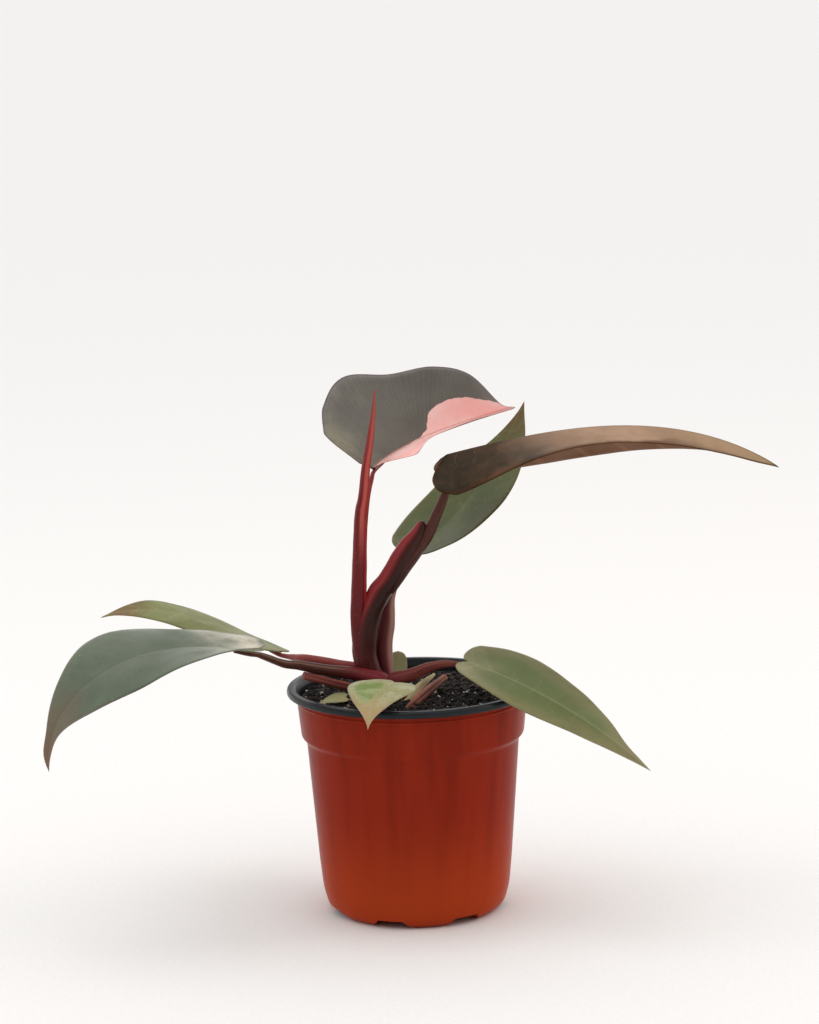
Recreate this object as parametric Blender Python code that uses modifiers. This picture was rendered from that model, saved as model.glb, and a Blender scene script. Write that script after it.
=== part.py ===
"""A young pink princess philodendron growing in a thin two-tone nursery pot.

World metres with +Z up. The origin is the middle of the pot's flat floor, where the pot stands. The plant is
seen from the -Y side. Sizes are written in millimetres and become metres where the objects are made.
"""

import math
from dataclasses import dataclass

import bmesh
import bpy
from mathutils import Matrix, Vector

MM = 0.001
GAP = 0.3
MERGE = 0.00001

# Pot, turned about the Z axis: (radius, height) pairs down the outside, then down the inside
RIM_RADIUS = 58.0
POT_HEIGHT = 106.4
WALL = 1.0
POT_STEPS = 70
POT_OUTSIDE = (
    (54.8, POT_HEIGHT),
    (57.3, POT_HEIGHT),
    (RIM_RADIUS, POT_HEIGHT - 0.8),
    (RIM_RADIUS, POT_HEIGHT - 2.6),
    (57.4, POT_HEIGHT - 3.2),
    (53.6, POT_HEIGHT - 3.2),
    (53.2, 99.0),
    (51.7, 83.6),
    (51.2, 82.6),
    (49.6, 81.6),
    (49.3, 80.4),
    (46.8, 48.0),
    (45.0, 25.0),
    (43.7, 12.0),
    (42.7, 6.5),
    (41.2, 3.2),
    (39.2, 0.8),
    (37.4, 0.0),
)
POT_INSIDE = (
    (54.9, POT_HEIGHT + 1.0),
    (54.5, POT_HEIGHT - 0.5),
    (52.4, POT_HEIGHT - 3.0),
    (52.1, 98.5),
    (50.7, 84.2),
    (48.5, 80.6),
    (48.2, 79.0),
    (45.8, 48.0),
    (44.0, 25.0),
    (42.7, 12.0),
    (41.7, 7.0),
    (40.2, 3.8),
    (38.4, 1.7),
    (36.6, WALL),
)
BELOW_FLOOR = -1.0
FOOT_GROOVES = 7
GROOVE_FIRST_ANGLE = -107.8
GROOVE_WIDTH = 13.0
GROOVE_HEIGHT = 4.0
GROOVE_START = 20.0
GROOVE_END = 60.0
DRAIN_RADIUS = 3.5
DRAIN_PLACE = 33.0
DRAIN_SIDES = 16

# Potting mix: a low mound, (radius, height) pairs from the middle to the wall
SOIL_MOUND = ((12.0, 102.4), (28.0, 102.2), (42.0, 101.4), (51.9, 100.6))

# Margin of every blade: how far along its points lie, and how wide a plain egg-shaped blade is there
ALONG = (-0.075, -0.135, -0.10, 0.03, 0.20, 0.40, 0.62, 0.80, 0.92, 1.0)
EGG_SHAPED = (0.15, 0.44, 0.77, 0.96, 1.0, 0.90, 0.65, 0.35, 0.14, 0.0)
BLADE_THICKNESS = 0.8
FAN_SHARE = 0.22
VEIN_POWER = 1.3
FLATTEST_CURL = 1e-6
SPINE_STEPS = 60

# Top of a stalk: it runs under the midrib, and gets thinner there
MIDRIB_OVERLAP = 7.0
MIDRIB_SHARE = 0.25
NECK_THICKNESS = 0.85
END_THICKNESS = 0.5
TUBE_POINT_SPACING = 7.0
TUBE_RESOLUTION = 3
CURVE_PARTS = 12


@dataclass(frozen=True)
class Leaf:
    """One blade. Lengths are millimetres, angles are degrees.

    wide_left and wide_right are shares of half_width at the places of ALONG, and a lobe is how much of the
    margin that lies behind the stalk there is. Each angle has three values: at the stalk, at the middle and at
    the tip. heading is the way the midrib points seen from above, from +X towards +Y. rise is its slope. roll
    lifts the left half and drops the right one. fold lifts each half about the midrib, and curl is how much
    more it bends out to its edge.
    """

    name: str
    colour: str
    base: tuple
    length: float
    half_width: float
    widest: float
    lobe_left: float
    lobe_right: float
    wide_left: tuple
    wide_right: tuple
    heading: tuple
    rise: tuple
    roll: tuple
    fold_left: tuple
    fold_right: tuple
    curl_left: tuple
    curl_right: tuple
    rows: int = 16
    columns: int = 6


@dataclass(frozen=True)
class Stalk:
    """A round stalk along (x, y, z, radius) points in millimetres."""

    name: str
    colour: str
    path: tuple
    leaf: Leaf = None


PINK_LEAF = Leaf(
    name="pink_leaf",
    colour="3A4038",
    base=(-15.0, 9.0, 206.5),
    length=76.5,
    half_width=34.5,
    widest=1.06,
    lobe_left=0.85,
    lobe_right=0.3,
    wide_left=(0.20, 0.71, 0.86, 1.08, 1.24, 0.99, 0.87, 0.61, 0.11, 0.0),
    wide_right=(0.09, 0.46, 0.78, 0.89, 0.86, 0.73, 0.48, 0.25, 0.13, 0.0),
    heading=(53, 12, -8),
    rise=(23, 18, 16),
    roll=(14, 23, 25),
    fold_left=(42, 48, 52),
    fold_right=(48, 35, 30),
    curl_left=(-1, 4, 25),
    curl_right=(-31, -2, 6),
)
COPPER_LEAF = Leaf(
    name="copper_leaf",
    colour="6B4532",
    base=(19.0, -0.5, 213.5),
    length=156.5,
    half_width=26.0,
    widest=1.08,
    lobe_left=0.37,
    lobe_right=0.45,
    wide_left=(0.21, 0.49, 0.76, 0.90, 0.93, 0.86, 0.66, 0.41, 0.20, 0.0),
    wide_right=(0.23, 0.55, 0.85, 1.01, 1.04, 0.96, 0.74, 0.46, 0.23, 0.0),
    heading=(1, -7, -3),
    rise=(13, 1, -35),
    roll=(-9, -15, 10),
    fold_left=(-15, -29, -50),
    fold_right=(-36, -27, -30),
    curl_left=(-25, -8, 4),
    curl_right=(-23, 1, -9),
    rows=20,
)
REAR_LEAF = Leaf(
    name="rear_leaf",
    colour="5F6140",
    base=(5.5, 22.0, 166.0),
    length=90.0,
    half_width=28.0,
    widest=0.95,
    lobe_left=0.44,
    lobe_right=0.42,
    wide_left=(0.05, 0.36, 0.74, 0.97, 0.99, 0.85, 0.51, 0.20, 0.05, 0.0),
    wide_right=(0.05, 0.37, 0.76, 0.97, 1.0, 0.91, 0.64, 0.34, 0.12, 0.0),
    heading=(26, 36, 45),
    rise=(30, 46, 56),
    roll=(-3, 4, 8),
    fold_left=(5, 4, -1),
    fold_right=(12, 5, -2),
    curl_left=(9, 4, -8),
    curl_right=(-11, -5, -2),
    columns=5,
)
LEFT_LEAF = Leaf(
    name="left_leaf",
    colour="737D69",
    base=(-72.5, -36.5, 132.0),
    length=124.5,
    half_width=31.5,
    widest=0.77,
    lobe_left=0.25,
    lobe_right=0.45,
    wide_left=(0.05, 0.24, 0.56, 0.91, 0.96, 0.86, 0.51, 0.15, 0.05, 0.0),
    wide_right=(0.08, 0.23, 0.54, 0.78, 1.07, 0.87, 0.41, 0.13, 0.08, 0.0),
    heading=(191, 205, 187),
    rise=(10, -18, -97),
    roll=(-7, -15, -32),
    fold_left=(21, 9, -12),
    fold_right=(11, 12, 26),
    curl_left=(-1, -17, -32),
    curl_right=(-30, -25, -4),
)
LEFT_REAR_LEAF = Leaf(
    name="left_rear_leaf",
    colour="8A8C50",
    base=(-62.0, 31.5, 116.5),
    length=89.0,
    half_width=27.0,
    widest=0.88,
    lobe_left=0.12,
    lobe_right=0.12,
    wide_left=(0.05, 0.30, 0.68, 0.94, 1.03, 0.93, 0.61, 0.29, 0.08, 0.0),
    wide_right=(0.05, 0.31, 0.67, 0.92, 0.99, 0.91, 0.63, 0.27, 0.06, 0.0),
    heading=(166, 183, 197),
    rise=(20, 18, -17),
    roll=(11, -1, -13),
    fold_left=(7, 1, 2),
    fold_right=(0, 2, 11),
    curl_left=(-11, -13, -12),
    curl_right=(-6, -12, -12),
    columns=5,
)
RIGHT_LEAF = Leaf(
    name="right_leaf",
    colour="6B7346",
    base=(26.0, -19.0, 120.0),
    length=112.0,
    half_width=22.0,
    widest=1.05,
    lobe_left=0.25,
    lobe_right=0.25,
    wide_left=(0.06, 0.29, 0.74, 1.03, 1.12, 0.82, 0.49, 0.17, 0.06, 0.0),
    wide_right=(0.06, 0.28, 0.50, 0.77, 0.86, 0.78, 0.48, 0.24, 0.09, 0.0),
    heading=(-15, -43, -58),
    rise=(-18, -19, -18),
    roll=(12, 7, 2),
    fold_left=(-5, 0, -8),
    fold_right=(6, -6, -22),
    curl_left=(5, 6, 4),
    curl_right=(7, -5, -14),
)
FRONT_LEAF = Leaf(
    name="front_leaf",
    colour="9AA374",
    base=(-8.5, -38.0, 115.5),
    length=40.0,
    half_width=15.5,
    widest=1.0,
    lobe_left=1.24,
    lobe_right=0.96,
    wide_left=(0.07, 0.37, 0.64, 0.83, 0.89, 0.76, 0.48, 0.20, 0.05, 0.0),
    wide_right=(0.05, 0.34, 0.76, 1.02, 1.06, 0.93, 0.60, 0.24, 0.06, 0.0),
    heading=(238, 253, 263),
    rise=(7, -20, -49),
    roll=(-4, -7, -9),
    fold_left=(1, 2, 2),
    fold_right=(2, 5, 5),
    curl_left=(-13, -10, -9),
    curl_right=(-16, -13, -11),
    rows=12,
    columns=5,
)
LOW_LEAF = Leaf(
    name="low_leaf",
    colour="B5AE86",
    base=(-30.5, -16.0, 104.2),
    length=13.0,
    half_width=4.4,
    widest=1.0,
    lobe_left=0.6,
    lobe_right=0.6,
    wide_left=EGG_SHAPED,
    wide_right=EGG_SHAPED,
    heading=(190, 190, 190),
    rise=(0, -10, -20),
    roll=(-18, -18, -15),
    fold_left=(5, 5, 5),
    fold_right=(5, 5, 5),
    curl_left=(0, 0, 0),
    curl_right=(0, 0, 0),
    rows=9,
    columns=3,
)
SMALL_REAR_LEAF = Leaf(
    name="small_rear_leaf",
    colour="AFB48E",
    base=(-6.5, 35.0, 104.6),
    length=9.5,
    half_width=4.8,
    widest=0.9,
    lobe_left=0.5,
    lobe_right=0.5,
    wide_left=(0.12, 0.6, 0.85, 0.97, 1.0, 0.98, 0.9, 0.72, 0.48, 0.0),
    wide_right=(0.12, 0.6, 0.85, 0.97, 1.0, 0.98, 0.9, 0.72, 0.48, 0.0),
    heading=(80, 80, 80),
    rise=(72, 75, 78),
    roll=(0, 0, 0),
    fold_left=(8, 8, 8),
    fold_right=(8, 8, 8),
    curl_left=(0, 0, 0),
    curl_right=(0, 0, 0),
    rows=9,
    columns=3,
)
LEAVES = (
    PINK_LEAF,
    COPPER_LEAF,
    REAR_LEAF,
    LEFT_LEAF,
    LEFT_REAR_LEAF,
    RIGHT_LEAF,
    FRONT_LEAF,
    LOW_LEAF,
    SMALL_REAR_LEAF,
)

STEM = Stalk(
    "stem",
    "5E3B30",
    ((-10, 2, 84, 5.0), (-12, 2, 97, 6.2), (-15, 2, 106, 6.6), (-17, 2, 109.5, 4.8)),
)
COPPER_STALK = Stalk(
    "copper_leaf_stalk",
    "55242A",
    (
        (-17.5, 1, 108, 5.0),
        (-20.5, 0.5, 116, 5.6),
        (-21.5, 0.5, 124, 5.7),
        (-19.5, 0, 137.5, 5.4),
        (-14, 0, 149.5, 5.3),
        (-9, 0, 156, 5.1),
        (-1.5, 0, 169, 4.6),
        (4, 0, 176.5, 3.4),
        (6.2, 0, 180.8, 2.2),
    ),
)
COPPER_PETIOLE = Stalk(
    "copper_leaf_petiole",
    "3A2022",
    (
        (-9.5, -0.5, 151.5, 3.4),
        (-3, 0, 160.5, 3.6),
        (4, 0.5, 169.5, 3.3),
        (9.5, 1, 177, 2.9),
        (13.5, 1, 185.5, 2.4),
        (17, 1, 193.5, 2.0),
        (19, 1, 200, 1.6),
    ),
    COPPER_LEAF,
)
REAR_STALK = Stalk(
    "rear_leaf_stalk",
    "66333A",
    (
        (-10.5, 4, 107.5, 2.8),
        (-11.8, 6, 114, 3.5),
        (-12.5, 8, 123, 3.8),
        (-11, 10, 134.5, 3.7),
        (-9.5, 12.5, 145, 2.7),
        (-4.5, 17, 155, 1.8),
        (1.5, 20.8, 161.5, 1.3),
    ),
    REAR_LEAF,
)
PINK_STALK = Stalk(
    "pink_leaf_stalk",
    "8A3A3E",
    (
        (-16.5, 6, 111.5, 1.8),
        (-20.5, 8.8, 118, 2.1),
        (-22.2, 9, 128, 2.1),
        (-22, 8.5, 150, 2.0),
        (-20.8, 8, 173.5, 1.8),
        (-18.6, 8, 192.5, 1.5),
        (-16.2, 8.6, 201.5, 1.1),
    ),
    PINK_LEAF,
)
NEW_LEAF_SHEATH = Stalk(
    "new_leaf_sheath",
    "9C4240",
    (
        (-20.5, 0, 113, 2.6),
        (-22.6, -0.5, 118, 3.3),
        (-23.6, -1, 125.5, 3.4),
        (-24, -1, 135, 3.5),
        (-23.6, -1, 146.5, 3.6),
        (-22.5, -1.5, 166, 3.3),
        (-21.5, -2, 186.5, 2.9),
        (-20, -2, 195, 2.5),
        (-18.5, -1.5, 208.5, 2.0),
        (-16.5, -1, 219.5, 1.7),
        (-14.5, -0.5, 233, 1.0),
        (-13.5, 0, 244, 0.3),
    ),
)
LEFT_STALK = Stalk(
    "left_leaf_stalk",
    "7A3238",
    (
        (-10.5, -3.5, 108.5, 2.0),
        (-14, -4, 110, 3.0),
        (-18.5, -4.5, 111, 3.4),
        (-28, -6.5, 113.5, 3.0),
        (-39.5, -12, 116.5, 2.6),
        (-51, -19, 120.5, 2.2),
        (-58, -23.5, 122.5, 1.9),
        (-66, -31, 127.5, 1.6),
        (-69.5, -34.5, 129.5, 1.3),
    ),
    LEFT_LEAF,
)
LEFT_REAR_STALK = Stalk(
    "left_rear_leaf_stalk",
    "8A3E42",
    (
        (-14.5, 4, 108, 2.4),
        (-18.5, 5, 111, 2.6),
        (-25.5, 7, 113, 2.5),
        (-33.5, 9.5, 114, 2.4),
        (-48.5, 17, 115.5, 2.1),
        (-54.5, 24, 114.8, 1.6),
        (-58.5, 28.5, 114.4, 1.2),
    ),
    LEFT_REAR_LEAF,
)
RIGHT_STALK = Stalk(
    "right_leaf_stalk",
    "7A3A3C",
    (
        (-11.5, -1, 108, 3.0),
        (-6.5, -4, 110, 3.3),
        (0.5, -6, 112, 3.0),
        (6.5, -9, 115.2, 2.4),
        (13.5, -13, 118, 1.9),
        (20, -17, 118.9, 1.4),
    ),
    RIGHT_LEAF,
)
FRONT_STALK = Stalk(
    "front_leaf_stalk",
    "7F5A45",
    ((-13, -2, 104.8, 1.5), (-12.2, -12, 108, 1.4), (-10.2, -24, 111.5, 1.2), (-8.8, -34, 113.6, 1.0)),
    FRONT_LEAF,
)
LOW_STALK = Stalk(
    "low_leaf_stalk",
    "8F6A50",
    ((-27.5, -15.5, 98.5, 0.9), (-27.6, -15.6, 101.3, 0.9), (-28.6, -15.8, 102.6, 0.8)),
    LOW_LEAF,
)
SMALL_REAR_STALK = Stalk(
    "small_rear_leaf_stalk",
    "8F7A58",
    ((-6.6, 33.6, 97.5, 0.9), (-6.6, 33.4, 101, 0.9), (-6.5, 33.4, 103, 0.8)),
    SMALL_REAR_LEAF,
)
CUT_STALK = Stalk(
    "cut_stalk",
    "6B3330",
    (
        (-14, 0, 104.6, 2.0),
        (-20.5, -6.5, 105.4, 2.1),
        (-28, -10.5, 107.5, 2.1),
        (-40, -14.5, 112, 1.9),
        (-49.5, -18, 115.5, 1.8),
    ),
)
WITHERED_STALK = Stalk(
    "withered_stalk",
    "7C4238",
    ((-3.5, -31.5, 99, 1.8), (0.5, -26, 102.5, 2.2), (7, -14, 105.6, 2.2), (15.5, 1.5, 108.6, 1.6)),
)
DRIED_SHEATH = Stalk(
    "dried_sheath",
    "B7A782",
    ((-5.5, -24, 99.5, 1.4), (-1, -19.5, 103.5, 2.0), (4, -9, 107.0, 1.9), (10.5, 3.5, 109.6, 0.7)),
)


def linear_colour(hex_code):
    """Turn a six-digit sRGB code into the linear RGBA that a shader reads."""
    channels = [int(hex_code[i : i + 2], 16) / 255 for i in (0, 2, 4)]
    return [c / 12.92 if c <= 0.04045 else ((c + 0.055) / 1.055) ** 2.4 for c in channels] + [1.0]


def blend(values, share):
    """Value at a share of the way along, through values at the start, the middle and the end."""
    start, middle, end = values
    return (
        start * (1 - share) * (1 - 2 * share)
        + 4 * middle * share * (1 - share)
        + end * share * (2 * share - 1)
    )


def smooth_path(points, count):
    """Catmull-Rom curve through the points, read at count + 1 places that are equally far apart."""
    knots = [Vector(p) for p in points]
    knots = [2 * knots[0] - knots[1]] + knots + [2 * knots[-1] - knots[-2]]
    curve = []
    for p0, p1, p2, p3 in zip(knots, knots[1:], knots[2:], knots[3:]):
        square = 2 * p0 - 5 * p1 + 4 * p2 - p3
        cube = 3 * p1 - p0 - 3 * p2 + p3
        for k in range(CURVE_PARTS):
            t = k / CURVE_PARTS
            curve.append(0.5 * (2 * p1 + (p2 - p0) * t + square * t**2 + cube * t**3))
    curve.append(knots[-2])
    travelled = [0.0]
    for a, b in zip(curve, curve[1:]):
        travelled.append(travelled[-1] + (b - a).length)
    result = []
    place = 0
    for k in range(count + 1):
        wanted = travelled[-1] * k / count
        while place < len(curve) - 2 and travelled[place + 1] < wanted:
            place += 1
        span = travelled[place + 1] - travelled[place]
        share = 0.0 if span == 0 else (wanted - travelled[place]) / span
        result.append(curve[place].lerp(curve[place + 1], min(share, 1.0)))
    return result


class Spine:
    """The midrib of a blade: its place, its left side and its upper side at any distance along it."""

    def __init__(self, leaf):
        self.length = leaf.length
        self.tangents = []
        self.lefts = []
        self.normals = []
        for k in range(SPINE_STEPS + 1):
            share = k / SPINE_STEPS
            heading = math.radians(blend(leaf.heading, share))
            rise = math.radians(blend(leaf.rise, share))
            roll = math.radians(blend(leaf.roll, share))
            level = math.cos(rise)
            tangent = Vector((level * math.cos(heading), level * math.sin(heading), math.sin(rise)))
            side = Vector((-math.sin(heading), math.cos(heading), 0))
            upper = tangent.cross(side)
            self.tangents.append(tangent)
            self.lefts.append(side * math.cos(roll) + upper * math.sin(roll))
            self.normals.append(upper * math.cos(roll) - side * math.sin(roll))
        self.points = [Vector(leaf.base)]
        for a, b in zip(self.tangents, self.tangents[1:]):
            self.points.append(self.points[-1] + (a + b) * (leaf.length / SPINE_STEPS / 2))

    def at(self, distance):
        """Place, left direction, upper direction and share of the length at a distance in millimetres."""
        share = min(max(distance / self.length, 0.0), 1.0)
        k = min(int(share * SPINE_STEPS), SPINE_STEPS - 1)
        part = share * SPINE_STEPS - k
        point = self.points[k].lerp(self.points[k + 1], part) + self.tangents[0] * min(distance, 0.0)
        left = self.lefts[k].lerp(self.lefts[k + 1], part)
        upper = self.normals[k].lerp(self.normals[k + 1], part)
        return point, left, upper, share


def margin_points(leaf, wide, lobe):
    """How far along and how wide one margin is at each row, as shares of length and half width."""
    points = []
    for point in smooth_path([(a, w, 0.0) for a, w in zip(ALONG, wide)], leaf.rows):
        along = point.x * lobe if point.x < 0 else point.x**leaf.widest
        points.append((along, max(point.y, 0.0)))
    return points


def blade_point(leaf, spine, margins, row, across):
    """Place of one grid point: row counts from the stalk to the tip, across runs from -1 (right) to 1 (left)."""
    out = abs(across)
    on_left = across > 0
    along, wide = margins[on_left][row]
    start = max(0.0, (row / leaf.rows - FAN_SHARE) / (1 - FAN_SHARE)) ** VEIN_POWER
    reach = leaf.half_width * wide * out
    point, left, upper, share = spine.at(leaf.length * (start * (1 - out) + along * out))
    fold = math.radians(blend(leaf.fold_left if on_left else leaf.fold_right, share))
    curl = math.radians(blend(leaf.curl_left if on_left else leaf.curl_right, share)) / leaf.half_width
    if abs(curl) < FLATTEST_CURL:
        curl = FLATTEST_CURL
    sideways = (math.sin(fold + curl * reach) - math.sin(fold)) / curl
    height = (math.cos(fold) - math.cos(fold + curl * reach)) / curl
    return point + left * (sideways if on_left else -sideways) + upper * height


def collection(name):
    """A new collection in the scene."""
    made = bpy.data.collections.new(name)
    bpy.context.scene.collection.children.link(made)
    return made


def material(name, hex_code, roughness):
    """A Principled BSDF material."""
    made = bpy.data.materials.new(name)
    made.use_nodes = True
    shader = made.node_tree.nodes["Principled BSDF"]
    shader.inputs["Base Color"].default_value = linear_colour(hex_code)
    shader.inputs["Roughness"].default_value = roughness
    shader.inputs["Metallic"].default_value = 0.0
    return made


def place(mesh, name, where):
    """An object of the mesh in a collection."""
    obj = bpy.data.objects.new(name, mesh)
    where.objects.link(obj)
    return obj


def as_cutter(obj):
    """Show an object as wire only and leave it out of renders."""
    obj.hide_render = True
    obj.display_type = "WIRE"
    return obj


def finish(obj, hex_code, roughness):
    """Give the object its own material and smooth shading."""
    obj.data.materials.append(material(obj.name, hex_code, roughness))
    obj.data.shade_smooth()
    return obj


def boolean(target, other, operation="DIFFERENCE"):
    """Cut the target with, or join it to, another object."""
    modifier = target.modifiers.new(f"{operation.lower()} {other.name}", "BOOLEAN")
    modifier.operation = operation
    modifier.object = other
    return modifier


def turned(name, profile, where):
    """A solid turned about Z from (radius, height) points that run down the outer side."""
    mesh = bpy.data.meshes.new(name)
    points = [(radius * MM, 0.0, height * MM) for radius, height in profile]
    mesh.from_pydata(points, [(k, k + 1) for k in range(len(points) - 1)], [])
    obj = place(mesh, name, where)
    screw = obj.modifiers.new("turn", "SCREW")
    screw.steps = POT_STEPS
    screw.render_steps = POT_STEPS
    screw.use_merge_vertices = True
    screw.merge_threshold = MERGE
    screw.use_smooth_shade = True
    return obj


def groove_turn(number):
    """Turn about Z that takes the +X direction to one of the grooves."""
    return Matrix.Rotation(math.radians(GROOVE_FIRST_ANGLE + 360 / FOOT_GROOVES * number), 4, "Z")


def groove_bars(name, extra, where):
    """Seven bars that lie where the grooves run under the pot's floor, larger all round by extra."""
    mesh = bpy.data.meshes.new(name)
    shape = bmesh.new()
    inner = Vector((GROOVE_START - extra, -GROOVE_WIDTH / 2 - extra, BELOW_FLOOR)) * MM
    outer = Vector((GROOVE_END, GROOVE_WIDTH / 2 + extra, GROOVE_HEIGHT + extra)) * MM
    bar = Matrix.LocRotScale((inner + outer) / 2, None, outer - inner)
    for number in range(FOOT_GROOVES):
        bmesh.ops.create_cube(shape, size=1.0, matrix=groove_turn(number) @ bar)
    shape.to_mesh(mesh)
    shape.free()
    return as_cutter(place(mesh, name, where))


def drain_holes(where):
    """Seven short cylinders that cut a drain hole through the roof of each groove."""
    mesh = bpy.data.meshes.new("drain_holes")
    shape = bmesh.new()
    hole = Matrix.Translation(Vector((DRAIN_PLACE, 0, GROOVE_HEIGHT + WALL / 2)) * MM)
    for number in range(FOOT_GROOVES):
        bmesh.ops.create_cone(
            shape,
            cap_ends=True,
            segments=DRAIN_SIDES,
            radius1=DRAIN_RADIUS * MM,
            radius2=DRAIN_RADIUS * MM,
            depth=3 * WALL * MM,
            matrix=groove_turn(number) @ hole,
        )
    shape.to_mesh(mesh)
    shape.free()
    return as_cutter(place(mesh, "drain_holes", where))


def make_pot(parts, cutters):
    """The pot: a thin turned wall with a rolled rim, a stacking step, and grooves and drain holes in its floor."""
    outside = ((0.0, POT_HEIGHT),) + POT_OUTSIDE + ((0.0, 0.0),)
    pot = turned("pot", outside, parts)
    inside = ((0.0, POT_INSIDE[0][1]),) + POT_INSIDE + ((0.0, WALL),)
    cavity = as_cutter(turned("pot_cavity", inside, cutters))
    boolean(cavity, groove_bars("groove_roofs", WALL, cutters))
    boolean(pot, groove_bars("grooves", 0.0, cutters))
    boolean(pot, cavity)
    boolean(pot, drain_holes(cutters))
    return finish(pot, "8F3322", 0.35)


def make_soil(parts, cutters):
    """The potting mix: it fills the pot with a small gap to the wall, and is open where stalks stand in it."""
    top = ((0.0, SOIL_MOUND[0][1]),) + SOIL_MOUND
    wall = tuple((radius - GAP, height) for radius, height in POT_INSIDE[:-1] if height < top[-1][1])
    floor = ((POT_INSIDE[-1][0] - GAP, WALL + GAP), (0.0, WALL + GAP))
    soil = turned("soil", top + wall + floor, parts)
    boolean(soil, groove_bars("soil_grooves", WALL + GAP, cutters))
    return finish(soil, "241E1A", 0.95)


def blade_mesh(leaf, name):
    """The open surface of a blade, from a flat grid whose rows are its side veins, split into triangles."""
    spine = Spine(leaf)
    right_margin = margin_points(leaf, leaf.wide_right, leaf.lobe_right)
    left_margin = margin_points(leaf, leaf.wide_left, leaf.lobe_left)
    mesh = bpy.data.meshes.new(name)
    shape = bmesh.new()
    bmesh.ops.create_grid(shape, x_segments=2 * leaf.columns, y_segments=leaf.rows, size=1.0)
    for vertex in shape.verts:
        row = round((vertex.co.y + 1) / 2 * leaf.rows)
        vertex.co = blade_point(leaf, spine, (right_margin, left_margin), row, -vertex.co.x) * MM
    bmesh.ops.remove_doubles(shape, verts=shape.verts, dist=MERGE)
    bmesh.ops.triangulate(shape, faces=shape.faces)
    shape.to_mesh(mesh)
    shape.free()
    return mesh


def make_blade(leaf, parts):
    """A blade of even thickness about its middle surface."""
    blade = place(blade_mesh(leaf, leaf.name), leaf.name, parts)
    solidify = blade.modifiers.new("thickness", "SOLIDIFY")
    solidify.thickness = BLADE_THICKNESS * MM
    solidify.offset = 0.0
    return finish(blade, leaf.colour, 0.45)


def under_blade(leaf, distance, radius):
    """A point below the midrib where a stalk of this radius keeps the gap to the blade."""
    point, left, upper, share = Spine(leaf).at(distance)
    steepest = min(blend(leaf.fold_left, share), blend(leaf.fold_right, share), 0.0)
    drop = (BLADE_THICKNESS / 2 + GAP + radius) / math.cos(math.radians(steepest))
    return tuple(point - upper * drop) + (radius,)


def stalk_path(stalk):
    """The stalk's own points, followed by two under the start of its blade."""
    if stalk.leaf is None:
        return stalk.path
    last = stalk.path[-1][3]
    reach = min(MIDRIB_OVERLAP, stalk.leaf.length * MIDRIB_SHARE)
    neck = under_blade(stalk.leaf, 0.0, last * NECK_THICKNESS)
    return stalk.path + (neck, under_blade(stalk.leaf, reach, last * END_THICKNESS))


def lengthened(path, extra):
    """The path with both of its ends moved outwards by extra."""
    first = Vector(path[0][:3])
    first += (first - Vector(path[1][:3])).normalized() * extra
    last = Vector(path[-1][:3])
    last += (last - Vector(path[-2][:3])).normalized() * extra
    return (tuple(first) + (path[0][3],),) + tuple(path[1:-1]) + (tuple(last) + (path[-1][3],),)


def tube(stalk, extra, name, where):
    """A mesh tube along a stalk's path, thicker and longer at each end by extra, with its caps welded."""
    path = lengthened(stalk_path(stalk), extra)
    length = sum((Vector(a[:3]) - Vector(b[:3])).length for a, b in zip(path, path[1:]))
    count = max(4, round(length / TUBE_POINT_SPACING))
    curve = bpy.data.curves.new(name, "CURVE")
    curve.dimensions = "3D"
    curve.bevel_depth = MM
    curve.bevel_resolution = TUBE_RESOLUTION
    curve.use_fill_caps = True
    spline = curve.splines.new("POLY")
    spline.points.add(count)
    for point, target in zip(smooth_path(path, count), spline.points):
        target.co = (point[0] * MM, point[1] * MM, point[2] * MM, 1.0)
        target.radius = point[3] + extra
    guide = place(curve, name, where)
    mesh = bpy.data.meshes.new_from_object(guide.evaluated_get(bpy.context.evaluated_depsgraph_get()))
    bpy.data.objects.remove(guide)
    bpy.data.curves.remove(curve)
    shape = bmesh.new()
    shape.from_mesh(mesh)
    bmesh.ops.remove_doubles(shape, verts=shape.verts, dist=MERGE)
    bmesh.ops.recalc_face_normals(shape, faces=shape.faces)
    shape.to_mesh(mesh)
    shape.free()
    mesh.name = name
    return place(mesh, name, where)


def room_for(stalk, cutters):
    """The cutter that makes room for a stalk, with the gap all round it."""
    name = f"{stalk.name}_room"
    return bpy.data.objects.get(name) or as_cutter(tube(stalk, GAP, name, cutters))


def make_stalk(stalk, neighbours, parts, cutters):
    """A stalk, cut back by the gap where it meets the neighbours that were made before it."""
    obj = tube(stalk, 0.0, stalk.name, parts)
    for neighbour in neighbours:
        boolean(obj, room_for(neighbour, cutters))
    return finish(obj, stalk.colour, 0.4)


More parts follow.
